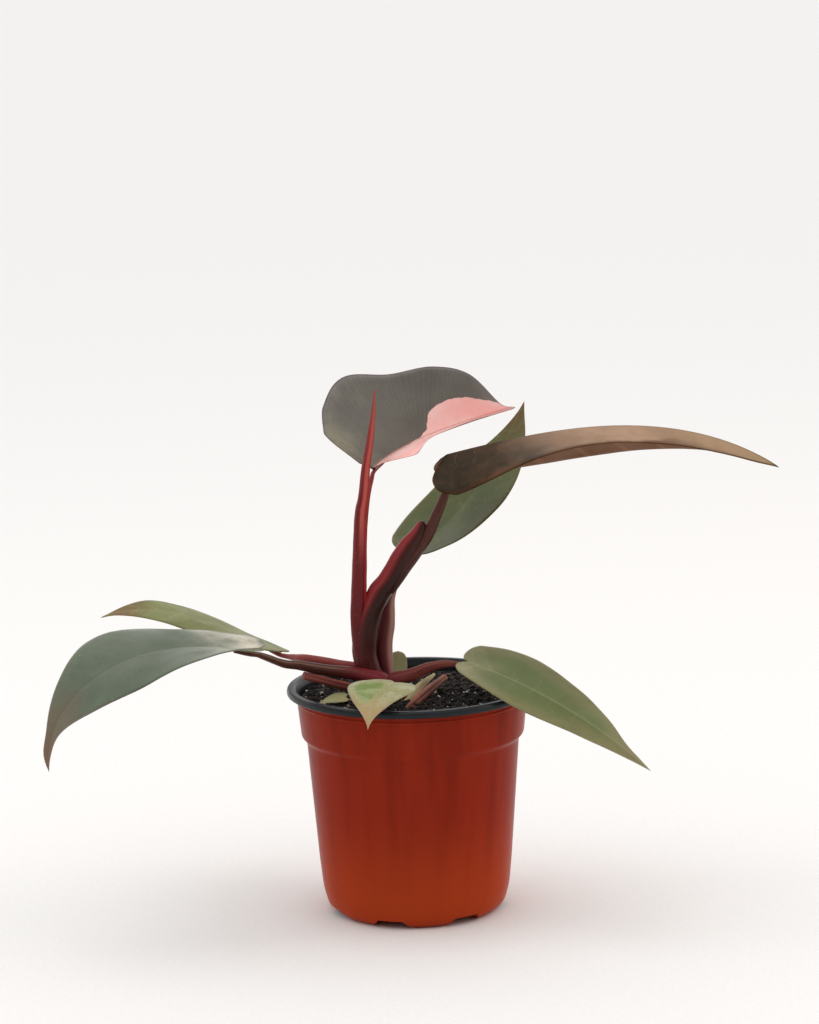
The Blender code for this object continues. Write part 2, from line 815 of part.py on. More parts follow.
def make_stalks(soil, parts, cutters):
    """All the stalks, from the stem outwards, and the holes they stand in."""
    crown = (STEM, COPPER_STALK)
    make_stalk(STEM, (), parts, cutters)
    sheath = make_stalk(COPPER_STALK, (STEM,), parts, cutters)
    petiole = as_cutter(tube(COPPER_PETIOLE, 0.0, COPPER_PETIOLE.name, cutters))
    boolean(sheath, petiole, "UNION")
    make_stalk(REAR_STALK, crown, parts, cutters)
    make_stalk(PINK_STALK, crown + (REAR_STALK,), parts, cutters)
    make_stalk(NEW_LEAF_SHEATH, crown, parts, cutters)
    make_stalk(LEFT_STALK, crown + (NEW_LEAF_SHEATH,), parts, cutters)
    make_stalk(LEFT_REAR_STALK, crown + (REAR_STALK, PINK_STALK, NEW_LEAF_SHEATH), parts, cutters)
    make_stalk(RIGHT_STALK, crown + (REAR_STALK, LEFT_STALK), parts, cutters)
    make_stalk(FRONT_STALK, crown + (LEFT_STALK, RIGHT_STALK), parts, cutters)
    make_stalk(CUT_STALK, (STEM, LEFT_STALK, FRONT_STALK), parts, cutters)
    for stalk in (LOW_STALK, SMALL_REAR_STALK, WITHERED_STALK, DRIED_SHEATH):
        make_stalk(stalk, (), parts, cutters)
    for stalk in (STEM, LOW_STALK, SMALL_REAR_STALK, WITHERED_STALK, DRIED_SHEATH):
        boolean(soil, room_for(stalk, cutters))


def main():
    """Build the potted plant."""
    for obj in list(bpy.data.objects):
        bpy.data.objects.remove(obj)
    parts = collection("pink_princess_philodendron")
    cutters = collection("cutters")
    make_pot(parts, cutters)
    soil = make_soil(parts, cutters)
    for leaf in LEAVES:
        make_blade(leaf, parts)
    make_stalks(soil, parts, cutters)


main()
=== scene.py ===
"""Finished look of a young pink princess philodendron in a thin two-tone nursery pot.

World metres with +Z up. The origin is the middle of the pot's floor, and the plant is seen from the -Y side.
Sizes in the classes are millimetres and angles are degrees, unless a name says otherwise.
"""

import logging
import math
import random
from dataclasses import dataclass
from enum import Enum

import bmesh
import bpy
from mathutils import Matrix, Vector, noise


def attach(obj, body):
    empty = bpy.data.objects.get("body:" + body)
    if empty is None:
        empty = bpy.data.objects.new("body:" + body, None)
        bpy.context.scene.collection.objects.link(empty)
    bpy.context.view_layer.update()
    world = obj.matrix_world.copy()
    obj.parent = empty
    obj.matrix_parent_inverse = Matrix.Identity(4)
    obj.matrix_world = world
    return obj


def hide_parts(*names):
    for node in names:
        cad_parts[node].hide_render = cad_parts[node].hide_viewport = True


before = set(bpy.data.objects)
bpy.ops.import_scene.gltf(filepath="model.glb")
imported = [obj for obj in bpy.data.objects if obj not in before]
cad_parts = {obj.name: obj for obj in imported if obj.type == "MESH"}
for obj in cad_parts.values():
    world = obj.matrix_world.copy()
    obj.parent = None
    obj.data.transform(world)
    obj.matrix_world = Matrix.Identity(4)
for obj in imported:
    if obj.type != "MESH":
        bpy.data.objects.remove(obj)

LOG = logging.getLogger("philodendron")

MM = 0.001
MERGE = 0.000002
BODY = "root"
# Parts of a smooth path between two of its points, before it is read at equal distances
CURVE_PARTS = 12
# Margin of every blade: how far along its points lie, and how wide a plain egg-shaped blade is there
ALONG = (-0.075, -0.135, -0.10, 0.03, 0.20, 0.40, 0.62, 0.80, 0.92, 1.0)
EGG_SHAPED = (0.15, 0.44, 0.77, 0.96, 1.0, 0.90, 0.65, 0.35, 0.14, 0.0)
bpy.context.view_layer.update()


def linear(hex_code: str) -> tuple[float, float, float, float]:
    """Turn a six-digit sRGB code into linear RGBA.

    Args:
        hex_code: Six hexadecimal digits.

    Returns:
        The colour that a shader's socket reads.
    """
    channels = [int(hex_code[i : i + 2], 16) / 255 for i in (0, 2, 4)]
    red, green, blue = (c / 12.92 if c <= 0.04045 else ((c + 0.055) / 1.055) ** 2.4 for c in channels)
    return red, green, blue, 1.0


def add_node(
    tree: bpy.types.NodeTree, kind: str, sockets: dict | None = None, **settings: object
) -> bpy.types.Node:
    """Add a node to a tree, with its settings, socket values and links.

    Args:
        tree: Tree that takes the node.
        kind: Type name of the node.
        sockets: For each input name or number, a value or the output socket to link to it.
        settings: Properties of the node itself.

    Returns:
        The new node.
    """
    node = tree.nodes.new(kind)
    for name, value in settings.items():
        setattr(node, name, value)
    for socket, value in (sockets or {}).items():
        if isinstance(value, bpy.types.NodeSocket):
            tree.links.new(value, node.inputs[socket])
        else:
            node.inputs[socket].default_value = value
    return node


def new_material(name: str) -> tuple[bpy.types.Material, bpy.types.NodeTree]:
    """Make an empty node material.

    Args:
        name: Name of the material.

    Returns:
        The material and its tree, which has no nodes yet.
    """
    made = bpy.data.materials.new(name)
    made.use_nodes = True
    made.node_tree.nodes.clear()
    return made, made.node_tree


def paint_over(
    tree: bpy.types.NodeTree,
    under: object,
    over: object,
    measure: bpy.types.NodeSocket,
    off: float,
    full: float,
    strength: float = 1.0,
) -> bpy.types.NodeSocket:
    """Lay one colour softly over another where a measure says so.

    Args:
        tree: Tree of the material.
        under: Colour or output below.
        over: Colour or output on top.
        measure: Output that carries the measure.
        off: Measure at which the top colour starts to show.
        full: Measure at which it shows most.
        strength: Share of the top colour there.

    Returns:
        The output socket of the mixed colour.
    """
    limits = {"Value": measure, "From Min": off, "From Max": full, "To Max": strength}
    mask = add_node(tree, "ShaderNodeMapRange", limits, interpolation_type="SMOOTHSTEP").outputs[0]
    return add_node(tree, "ShaderNodeMix", {0: mask, 6: under, 7: over}, data_type="RGBA").outputs[2]


def finish_surface(
    tree: bpy.types.NodeTree, colour: object, bump: object, height: float, **sockets: object
) -> None:
    """Add the shader with its bump and the output.

    Args:
        tree: Tree of the material.
        colour: Output of the base colour.
        bump: Output of the bump pattern.
        height: Real height of the bump in millimetres.
        sockets: Other values of the shader, with underscores for spaces in their names.
    """
    normal = add_node(tree, "ShaderNodeBump", {"Height": bump, "Distance": height * MM, "Strength": 1.0})
    values = {name.replace("_", " "): value for name, value in sockets.items()}
    values |= {"Base Color": colour, "Normal": normal.outputs[0]}
    shader = add_node(tree, "ShaderNodeBsdfPrincipled", values)
    add_node(tree, "ShaderNodeOutputMaterial", {"Surface": shader.outputs[0]})


def blend(values: tuple[float, float, float], share: float) -> float:
    """Value at a share of the way along, through values at the start, the middle and the end.

    Args:
        values: The three values.
        share: How far along, from 0 to 1.

    Returns:
        The value there.
    """
    start, middle, end = values
    return (
        start * (1 - share) * (1 - 2 * share)
        + 4 * middle * share * (1 - share)
        + end * share * (2 * share - 1)
    )


def eased(value: float, low: float, high: float) -> float:
    """Smooth step from 0 at low to 1 at high.

    Args:
        value: Where to read it.
        low: Value that gives 0.
        high: Value that gives 1.

    Returns:
        A share from 0 to 1.
    """
    share = min(max((value - low) / (high - low), 0.0), 1.0)
    return share * share * (3 - 2 * share)


def smooth_path(points: tuple, count: int) -> list[Vector]:
    """Catmull-Rom curve through points, read at equal distances.

    Args:
        points: Points of any one size.
        count: Number of steps.

    Returns:
        count + 1 points.
    """
    knots = [Vector(p) for p in points]
    knots = [2 * knots[0] - knots[1]] + knots + [2 * knots[-1] - knots[-2]]
    curve = []
    for p0, p1, p2, p3 in zip(knots, knots[1:], knots[2:], knots[3:]):
        square = 2 * p0 - 5 * p1 + 4 * p2 - p3
        cube = 3 * p1 - p0 - 3 * p2 + p3
        for k in range(CURVE_PARTS):
            t = k / CURVE_PARTS
            curve.append(0.5 * (2 * p1 + (p2 - p0) * t + square * t**2 + cube * t**3))
    curve.append(knots[-2])
    travelled = [0.0]
    for a, b in zip(curve, curve[1:]):
        travelled.append(travelled[-1] + (b - a).length)
    result = []
    place = 0
    for k in range(count + 1):
        wanted = travelled[-1] * k / count
        while place < len(curve) - 2 and travelled[place + 1] < wanted:
            place += 1
        span = travelled[place + 1] - travelled[place]
        share = 0.0 if span == 0 else (wanted - travelled[place]) / span
        result.append(curve[place].lerp(curve[place + 1], min(share, 1.0)))
    return result


def make_piece(
    shape: bmesh.types.BMesh, name: str, materials: list, nodes: tuple[str, ...]
) -> bpy.types.Object:
    """Turn a finished mesh into a piece of the plant that rides on it.

    Args:
        shape: The mesh, in its place in metres.
        name: Name of the piece.
        materials: Its materials, in the order of their numbers.
        nodes: Plain solids that it stands for.

    Returns:
        The new object.
    """
    mesh = bpy.data.meshes.new(name)
    shape.to_mesh(mesh)
    shape.free()
    mesh.shade_smooth()
    for material in materials:
        mesh.materials.append(material)
    piece = bpy.data.objects.new(name, mesh)
    bpy.context.scene.collection.objects.link(piece)
    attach(piece, BODY)
    if nodes:
        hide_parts(*nodes)
    LOG.info("%s: %d faces", name, len(mesh.polygons))
    return piece


@dataclass(frozen=True)
class BladeSkin:
    """Living leaf: a waxy skin over pigmented flesh, which gives a soft sheen over mottled, veined colour."""

    name: str
    base: str
    middle: str
    tip: str
    border: str
    border_width: float
    mottle: str
    mottle_size: float
    mottle_share: float
    vein: str
    vein_share: float
    midrib: str
    margin: str
    under: str
    roughness: float
    coat: float
    fleck: str
    fleck_size: float = 5.0
    fleck_reach: float = 0.09
    base_start: float = 0.25
    base_end: float = 0.45
    tip_start: float = 0.82
    veins: float = 11.0
    vein_fade: float = 0.0
    midrib_share: float = 0.5
    margin_share: float = 0.55
    patch: str = ""
    patch_mottle: str = ""
    patch_softness: float = 0.15
    specular: float = 0.2

    # How far clouds of colour push the zones, as a share of the length, and the border, in millimetres
    WANDER = 0.22
    RAGGED = 14.0
    # Small mottling beside the large one, fine veins beside the side veins, and their share of the colour
    SMALL_MOTTLES = 5
    FINE_VEINS = 7
    FINE_SHARE = 0.12
    # How fast a side vein gets thinner with each millimetre from the midrib
    VEIN_TAPER = 0.004
    # Skin cells are finer than this, and are drawn at half a millimetre so that they show
    CELL = 0.5
    CELL_HEIGHT = 0.05
    # Index of refraction of leaf wax
    WAX = 1.45

    def upper(self) -> bpy.types.Material:
        """The side that faces the light.

        Returns:
            The material.
        """
        made, tree = new_material(f"{self.name}_upper")
        where = add_node(tree, "ShaderNodeTexCoord").outputs["Object"]
        flat = add_node(tree, "ShaderNodeUVMap", uv_map="blade").outputs[0]
        along = add_node(tree, "ShaderNodeSeparateXYZ", {0: flat}).outputs["Y"]
        spread = add_node(tree, "ShaderNodeAttribute", attribute_name="spread").outputs["Fac"]
        inset = add_node(tree, "ShaderNodeAttribute", attribute_name="inset").outputs["Fac"]
        clouds = {"Vector": where, "Scale": 1 / (self.mottle_size * MM), "Detail": 3.0}
        large = add_node(tree, "ShaderNodeTexNoise", clouds).outputs[0]
        specks = clouds | {"Scale": self.SMALL_MOTTLES / (self.mottle_size * MM)}
        small = add_node(tree, "ShaderNodeTexNoise", specks).outputs[0]

        # Ground colour from the stalk to the tip, with a ragged border of another shade
        wander = {0: large, 1: self.WANDER, 2: along}
        place = add_node(tree, "ShaderNodeMath", wander, operation="MULTIPLY_ADD").outputs[0]
        ends = self.base_end + self.WANDER / 2
        colour = paint_over(tree, linear(self.base), linear(self.middle), place, self.base_start, ends)
        ragged = {0: large, 1: -self.RAGGED, 2: inset}
        edge = add_node(tree, "ShaderNodeMath", ragged, operation="MULTIPLY_ADD").outputs[0]
        rim = -self.RAGGED / 2
        colour = paint_over(tree, colour, linear(self.border), edge, self.border_width + rim, rim, 0.85)
        colour = paint_over(tree, colour, linear(self.mottle), large, 0.42, 0.68, self.mottle_share)
        colour = paint_over(tree, colour, linear(self.mottle), small, 0.45, 0.75, self.mottle_share * 0.6)
        colour = paint_over(tree, colour, linear(self.tip), place, self.tip_start + 0.05, 1.1)

        # Side veins that fade towards the margin, with fine ones between them
        rows = add_node(tree, "ShaderNodeMath", {0: place, 1: self.veins}, operation="MULTIPLY").outputs[0]
        side = add_node(tree, "ShaderNodeMath", {0: rows, 1: 0.5}, operation="PINGPONG").outputs[0]
        dense = {0: along, 1: self.veins * self.FINE_VEINS}
        fine_rows = add_node(tree, "ShaderNodeMath", dense, operation="MULTIPLY").outputs[0]
        fine = add_node(tree, "ShaderNodeMath", {0: fine_rows, 1: 0.5}, operation="PINGPONG").outputs[0]
        outwards = {0: spread, 1: self.VEIN_TAPER, 2: side}
        fading = add_node(tree, "ShaderNodeMath", outwards, operation="MULTIPLY_ADD").outputs[0]
        onwards = {0: along, 1: self.vein_fade, 2: fading}
        fading = add_node(tree, "ShaderNodeMath", onwards, operation="MULTIPLY_ADD").outputs[0]
        faint = self.vein_share * self.FINE_SHARE
        colour = paint_over(tree, colour, linear(self.vein), fine, 0.3, 0.0, faint)
        colour = paint_over(tree, colour, linear(self.vein), fading, 0.11, 0.01, self.vein_share)

        if self.patch:
            inside = add_node(tree, "ShaderNodeAttribute", attribute_name="patch").outputs["Fac"]
            frayed = {0: small, 1: 1.6 + 2 * self.patch_softness, 2: inside}
            border = add_node(tree, "ShaderNodeMath", frayed, operation="MULTIPLY_ADD").outputs[0]
            light = paint_over(tree, linear(self.patch), linear(self.patch_mottle), large, 0.4, 0.62)
            light = paint_over(tree, light, linear(self.patch_mottle), fine, 0.25, 0.0, 0.35)
            centre = 0.8 + self.patch_softness
            low, high = centre - self.patch_softness, centre + self.patch_softness
            colour = paint_over(tree, colour, light, border, low, high)

        crumbs = {"Vector": where, "Scale": 1 / (self.fleck_size * MM)}
        spot = add_node(tree, "ShaderNodeTexVoronoi", crumbs).outputs["Distance"]
        reach = self.fleck_reach
        colour = paint_over(tree, colour, linear(self.fleck), spot, reach, reach / 2, 0.7)
        colour = paint_over(tree, colour, linear(self.midrib), spread, 1.0, 0.3, self.midrib_share)
        colour = paint_over(tree, colour, linear(self.margin), inset, 0.6, 0.2, self.margin_share)

        cells = {"Vector": where, "Scale": 1 / (self.CELL * MM), "Detail": 2.0}
        skin = add_node(tree, "ShaderNodeTexNoise", cells).outputs[0]
        ribbed = {0: fine, 1: 0.5, 2: skin}
        ridges = add_node(tree, "ShaderNodeMath", ribbed, operation="MULTIPLY_ADD").outputs[0]
        dull = {"Value": large, "To Min": self.roughness - 0.08, "To Max": self.roughness + 0.08}
        rough = add_node(tree, "ShaderNodeMapRange", dull, interpolation_type="SMOOTHSTEP").outputs[0]
        finish_surface(
            tree,
            colour,
            ridges,
            self.CELL_HEIGHT,
            Roughness=rough,
            Specular_IOR_Level=self.specular,
            Coat_Weight=self.coat,
            Coat_Roughness=0.3,
            IOR=self.WAX,
        )
        return made

    def lower(self) -> bpy.types.Material:
        """The duller side below, with raised veins.

        Returns:
            The material.
        """
        made, tree = new_material(f"{self.name}_underside")
        where = add_node(tree, "ShaderNodeTexCoord").outputs["Object"]
        flat = add_node(tree, "ShaderNodeUVMap", uv_map="blade").outputs[0]
        along = add_node(tree, "ShaderNodeSeparateXYZ", {0: flat}).outputs["Y"]
        spread = add_node(tree, "ShaderNodeAttribute", attribute_name="spread").outputs["Fac"]
        clouds = {"Vector": where, "Scale": 1 / (self.mottle_size * MM), "Detail": 3.0}
        large = add_node(tree, "ShaderNodeTexNoise", clouds).outputs[0]
        rows = add_node(tree, "ShaderNodeMath", {0: along, 1: self.veins}, operation="MULTIPLY").outputs[0]
        side = add_node(tree, "ShaderNodeMath", {0: rows, 1: 0.5}, operation="PINGPONG").outputs[0]
        colour = paint_over(tree, linear(self.under), linear(self.border), large, 0.4, 0.75, 0.5)
        colour = paint_over(tree, colour, linear(self.tip), along, self.tip_start, 1.0, 0.8)
        colour = paint_over(tree, colour, linear(self.vein), side, 0.12, 0.0, 0.3)
        if self.patch:
            inside = add_node(tree, "ShaderNodeAttribute", attribute_name="patch").outputs["Fac"]
            colour = paint_over(tree, colour, linear(self.patch), inside, -0.4, 0.4, 0.9)
        colour = paint_over(tree, colour, linear(self.midrib), spread, 1.8, 0.8, 0.8)
        cells = {"Vector": where, "Scale": 1 / (self.CELL * MM), "Detail": 2.0}
        skin = add_node(tree, "ShaderNodeTexNoise", cells).outputs[0]
        finish_surface(
            tree,
            colour,
            skin,
            self.CELL_HEIGHT,
            Roughness=min(self.roughness + 0.12, 1.0),
            Specular_IOR_Level=self.specular / 2,
            IOR=self.WAX,
        )
        return made


@dataclass(frozen=True)
class HighlightBand:
    """A lengthwise stripe of another colour on a stalk, set by its angle from the viewer's side: a painted
    highlight along the side that faces the light.
    """

    colour: str
    angle: float
    width: float
    share: float
    start: float = 0.0
    end: float = 1.0


@dataclass(frozen=True)
class StalkSkin:
    """Living stalk: juicy tissue under a thin wax, streaked lengthwise with red, with a satin sheen."""

    name: str
    root: str
    middle: str
    tip: str
    streak: str
    streak_share: float
    fleck: str
    highlight_bands: tuple[HighlightBand, ...] = ()
    roughness: float = 0.38
    coat: float = 0.03
    specular: float = 0.15

    # Streaks and fibres around and along a stalk, the size of its flecks, and the height of its fibres
    STREAKS = (9.0, 1.4, 1.0)
    FIBRES = (60.0, 4.0, 1.0)
    FLECK_SIZE = 2.6
    FIBRE_HEIGHT = 0.12

    def build(self) -> bpy.types.Material:
        """The material, which follows the stalk by its UV map.

        Returns:
            The material.
        """
        made, tree = new_material(self.name)
        where = add_node(tree, "ShaderNodeTexCoord").outputs["Object"]
        flat = add_node(tree, "ShaderNodeUVMap", uv_map="stalk").outputs[0]
        split = add_node(tree, "ShaderNodeSeparateXYZ", {0: flat})
        along = split.outputs["Y"]
        strip = add_node(tree, "ShaderNodeMapping", {"Vector": flat, "Scale": self.STREAKS}).outputs[0]
        streaky = {"Vector": strip, "Scale": 2.2, "Detail": 4.0}
        lines = add_node(tree, "ShaderNodeTexNoise", streaky).outputs[0]
        colour = paint_over(tree, linear(self.root), linear(self.middle), along, 0.08, 0.45)
        colour = paint_over(tree, colour, linear(self.tip), along, 0.55, 1.0)
        colour = paint_over(tree, colour, linear(self.streak), lines, 0.42, 0.68, self.streak_share)
        # Stripes along the sides that face the light: painted highlights, fading in at their start and out at
        # their end
        for highlight in self.highlight_bands:
            turn = {0: split.outputs["X"], 1: highlight.angle / 360 + 0.5}
            offset = add_node(tree, "ShaderNodeMath", turn, operation="SUBTRACT").outputs[0]
            folded = {0: offset, 1: 0.5}
            away = add_node(tree, "ShaderNodeMath", folded, operation="PINGPONG").outputs[0]
            wide = highlight.width / 360
            highlight_stripe = paint_over(tree, colour, linear(highlight.colour), away, wide, wide / 3, highlight.share)
            lower = paint_over(tree, colour, highlight_stripe, along, highlight.start - 0.05, highlight.start + 0.15)
            colour = paint_over(tree, lower, colour, along, highlight.end - 0.1, highlight.end + 0.1)
        pores = {"Vector": where, "Scale": 1 / (self.FLECK_SIZE * MM)}
        dots = add_node(tree, "ShaderNodeTexVoronoi", pores).outputs["Distance"]
        colour = paint_over(tree, colour, linear(self.fleck), dots, 0.16, 0.06, 0.35)
        fibres = add_node(tree, "ShaderNodeMapping", {"Vector": flat, "Scale": self.FIBRES}).outputs[0]
        stringy = {"Vector": fibres, "Scale": 1.0, "Detail": 2.0}
        ribs = add_node(tree, "ShaderNodeTexNoise", stringy).outputs[0]
        finish_surface(
            tree,
            colour,
            ribs,
            self.FIBRE_HEIGHT,
            Roughness=self.roughness,
            Specular_IOR_Level=self.specular,
            Coat_Weight=self.coat,
            Coat_Roughness=0.25,
        )
        return made


@dataclass(frozen=True)
class LeafForm:
    """Shape of one blade. Each angle has values at the stalk, at the middle and at the tip.

    wide_left and wide_right are shares of half_width at the places of ALONG, and a lobe is how much of the
    margin that lies behind the stalk there is. heading is the way the midrib points seen from above, from +X
    towards +Y. rise is its slope. roll lifts the left half and drops the right one. fold lifts each half
    about the midrib, and curl bends it on to its edge.
    """

    base: tuple[float, float, float]
    length: float
    half_width: float
    widest: float
    lobe_left: float
    lobe_right: float
    wide_left: tuple[float, ...]
    wide_right: tuple[float, ...]
    heading: tuple[float, float, float]
    rise: tuple[float, float, float]
    roll: tuple[float, float, float]
    fold_left: tuple[float, float, float]
    fold_right: tuple[float, float, float]
    curl_left: tuple[float, float, float]
    curl_right: tuple[float, float, float]

    def margin(self, wide: tuple[float, ...], lobe: float, rows: int) -> list[tuple[float, float]]:
        """Trace one margin.

        Args:
            wide: Shares of half_width at the places of ALONG.
            lobe: How much of the margin behind the stalk there is.
            rows: Number of steps.

        Returns:
            How far along and how wide the margin is at each step, as shares of length and half width.
        """
        points = smooth_path(tuple((a, w, 0.0) for a, w in zip(ALONG, wide)), rows)
        return [(p.x * lobe if p.x < 0 else p.x**self.widest, max(p.y, 0.0)) for p in points]


class Midrib:
    """Line along the middle of a blade: its place, left side and upper side at any distance."""

    STEPS = 60

    def __init__(self, form: LeafForm) -> None:
        """Walk along the midrib.

        Args:
            form: Shape of the blade.
        """
        self.length = form.length
        self.tangents = []
        self.lefts = []
        self.normals = []
        for k in range(self.STEPS + 1):
            share = k / self.STEPS
            heading = math.radians(blend(form.heading, share))
            rise = math.radians(blend(form.rise, share))
            roll = math.radians(blend(form.roll, share))
            level = math.cos(rise)
            tangent = Vector((level * math.cos(heading), level * math.sin(heading), math.sin(rise)))
            side = Vector((-math.sin(heading), math.cos(heading), 0))
            upper = tangent.cross(side)
            self.tangents.append(tangent)
            self.lefts.append(side * math.cos(roll) + upper * math.sin(roll))
            self.normals.append(upper * math.cos(roll) - side * math.sin(roll))
        self.points = [Vector(form.base)]
        for a, b in zip(self.tangents, self.tangents[1:]):
            self.points.append(self.points[-1] + (a + b) * (form.length / self.STEPS / 2))

    def at(self, distance: float) -> tuple[Vector, Vector, Vector, float]:
        """Read the midrib.

        Args:
            distance: Millimetres from the stalk; less than nothing is behind it.

        Returns:
            Place, left direction, upper direction and share of the length.
        """
        share = min(max(distance / self.length, 0.0), 1.0)
        k = min(int(share * self.STEPS), self.STEPS - 1)
        part = share * self.STEPS - k
        point = self.points[k].lerp(self.points[k + 1], part) + self.tangents[0] * min(distance, 0.0)
        left = self.lefts[k].lerp(self.lefts[k + 1], part)
        upper = self.normals[k].lerp(self.normals[k + 1], part)
        return point, left, upper, share


@dataclass(frozen=True)
class Blade:
    """One leaf blade: thin at its margin, with sunken side veins above and a raised midrib below."""

    name: str
    slot: str
    form: LeafForm
    skin: BladeSkin
    rows: int = 112
    columns: int = 26
    half_thickness: float = 0.34
    vein_depth: float = 0.13
    midrib_height: float = 0.9
    midrib_width: float = 1.3
    ripple: float = 0.5
    patches: tuple[tuple[tuple[float, float], ...], ...] = ()

    # Rows of side veins: the share that fans out from the stalk, and how the others space out along it
    FAN_SHARE = 0.22
    VEIN_POWER = 1.3
    FLATTEST_CURL = 1e-6
    # Columns crowd towards the midrib, where the surface bends most
    CROWDING = 1.25
    # Sunken side veins: share of the row that dips, and millimetres in which they fade out at either end
    VALLEY = 0.25
    MARGIN_FADE = 5.0
    MIDRIB_FADE = 3.0
    # Size of the slow waves of the surface, and millimetres from the midrib in which they grow
    WAVE_SIZE = 17.0
    WAVE_REACH = (1.0, 12.0)
    # Millimetres in which the blade rounds off at its margin, and how much thinner the rib is at the tip
    ROUNDING = 0.9
    RIB_TAPER = 0.8

    def place(
        self, midrib: Midrib, edge: tuple[float, float], row: float, across: float
    ) -> tuple[Vector, float, float]:
        """Where one point of the blade's middle surface lies.

        Args:
            midrib: The blade's midrib.
            edge: How far along and how wide the margin is at the end of this row.
            row: Share of the way from the stalk to the tip, counted by side veins.
            across: From -1 at the right margin to 1 at the left one.

        Returns:
            The place, the distance from the midrib and the distance to the margin in millimetres.
        """
        form = self.form
        out = abs(across)
        on_left = across > 0
        along, wide = edge
        start = max(0.0, (row - self.FAN_SHARE) / (1 - self.FAN_SHARE)) ** self.VEIN_POWER
        full = form.half_width * wide
        reach = full * out
        point, left, upper, share = midrib.at(form.length * (start * (1 - out) + along * out))
        fold = math.radians(blend(form.fold_left if on_left else form.fold_right, share))
        curl = math.radians(blend(form.curl_left if on_left else form.curl_right, share)) / form.half_width
        if abs(curl) < self.FLATTEST_CURL:
            curl = self.FLATTEST_CURL
        sideways = (math.sin(fold + curl * reach) - math.sin(fold)) / curl
        height = (math.cos(fold) - math.cos(fold + curl * reach)) / curl
        return point + left * (sideways if on_left else -sideways) + upper * height, reach, full - reach

    def inside_patch(self, row: float, across: float) -> float:
        """How far a point lies inside the nearest patch of another colour.

        Args:
            row: Share along the blade.
            across: Share across it.

        Returns:
            Millimetres inside, or less than nothing outside.
        """
        here = Vector((row * self.form.length, across * self.form.half_width))
        deepest = -self.form.length
        for patch in self.patches:
            corners = [Vector((r * self.form.length, a * self.form.half_width)) for r, a in patch]
            nearest = self.form.length
            inside = False
            for a, b in zip(corners, corners[1:] + corners[:1]):
                span = b - a
                share = min(max((here - a).dot(span) / span.length_squared, 0.0), 1.0)
                nearest = min(nearest, (here - a - span * share).length)
                beside = (a.y > here.y) != (b.y > here.y)
                if beside and here.x < a.x + (here.y - a.y) / (b.y - a.y) * (b.x - a.x):
                    inside = not inside
            deepest = max(deepest, nearest if inside else -nearest)
        return deepest

    def relief(self, row: float, reach: float, inset: float) -> float:
        """Height of the quilted surface between the side veins.

        Args:
            row: Share along the blade.
            reach: Distance from the midrib.
            inset: Distance to the margin.

        Returns:
            Millimetres above the middle surface.
        """
        phase = abs((row * self.skin.veins) % 1.0 - 0.5) * 2
        valley = -math.exp(-(((1 - phase) / self.VALLEY) ** 2))
        sides = eased(inset, 0.0, self.MARGIN_FADE) * eased(reach, 0.0, self.MIDRIB_FADE)
        fade = sides * (1 - eased(row, 0.8, 0.95))
        return self.vein_depth * valley * fade

    def build(self) -> bpy.types.Object:
        """Make the blade, its two skins and its attributes.

        Returns:
            The new piece.
        """
        midrib = Midrib(self.form)
        left = self.form.margin(self.form.wide_left, self.form.lobe_left, self.rows)
        right = self.form.margin(self.form.wide_right, self.form.lobe_right, self.rows)
        shape = bmesh.new()
        shape.loops.layers.uv.new("blade")
        spread = shape.verts.layers.float.new("spread")
        inset = shape.verts.layers.float.new("inset")
        patch = shape.verts.layers.float.new("patch")
        share = shape.verts.layers.float.new("row")
        bmesh.ops.create_grid(
            shape, x_segments=2 * self.columns, y_segments=self.rows, size=1.0, calc_uvs=True
        )
        for vertex in shape.verts:
            row = (vertex.co.y + 1) / 2
            across = -math.copysign(abs(vertex.co.x) ** self.CROWDING, vertex.co.x)
            margin = left if across > 0 else right
            place, reach, room = self.place(midrib, margin[round(row * self.rows)], row, across)
            vertex[spread] = reach
            vertex[inset] = room
            vertex[share] = row
            vertex[patch] = self.inside_patch(row, across)
            vertex.co = place
        bmesh.ops.remove_doubles(shape, verts=shape.verts, dist=MERGE / MM)
        shape.normal_update()
        shape.verts.index_update()
        normals = [vertex.normal.copy() for vertex in shape.verts]
        for vertex, normal in zip(shape.verts, normals):
            waves = noise.noise(vertex.co / self.WAVE_SIZE)
            drift = waves * self.ripple * eased(vertex[spread], *self.WAVE_REACH)
            height = self.relief(vertex[share], vertex[spread], vertex[inset])
            vertex.co += normal * (drift + height)
        copy = bmesh.ops.duplicate(shape, geom=shape.verts[:] + shape.edges[:] + shape.faces[:])
        below = [g for g in copy["geom"] if isinstance(g, bmesh.types.BMFace)]
        bmesh.ops.reverse_faces(shape, faces=below)
        for face in below:
            face.material_index = 1
        lower = {g for g in copy["geom"] if isinstance(g, bmesh.types.BMVert)}
        shape.verts.index_update()
        for vertex in shape.verts:
            normal = normals[vertex.index % len(normals)]
            margin = min(vertex[inset] / self.ROUNDING, 1.0)
            thick = self.half_thickness * math.sqrt(max(1 - (1 - margin) ** 2, 0.0))
            if vertex in lower:
                rib = self.midrib_height * math.exp(-((vertex[spread] / self.midrib_width) ** 2))
                vertex.co -= normal * (thick + rib * (1 - self.RIB_TAPER * vertex[share]) * margin)
            else:
                vertex.co += normal * thick
        bmesh.ops.remove_doubles(shape, verts=shape.verts, dist=MERGE / MM)
        bmesh.ops.scale(shape, vec=(MM, MM, MM), verts=shape.verts)
        skins = [self.skin.upper(), self.skin.lower()]
        return make_piece(shape, f"{self.name}_blade", skins, (self.name,))


class End(Enum):
    """How a stalk ends."""

    ROUND = "round"
    CUT = "cut"
    POINTED = "pointed"


@dataclass(frozen=True)
class Ridge:
    """A lengthwise ridge, or a groove where its height is less than nothing."""

    angle: float
    width: float
    height: float
    start: float = 0.0
    end: float = 1.0


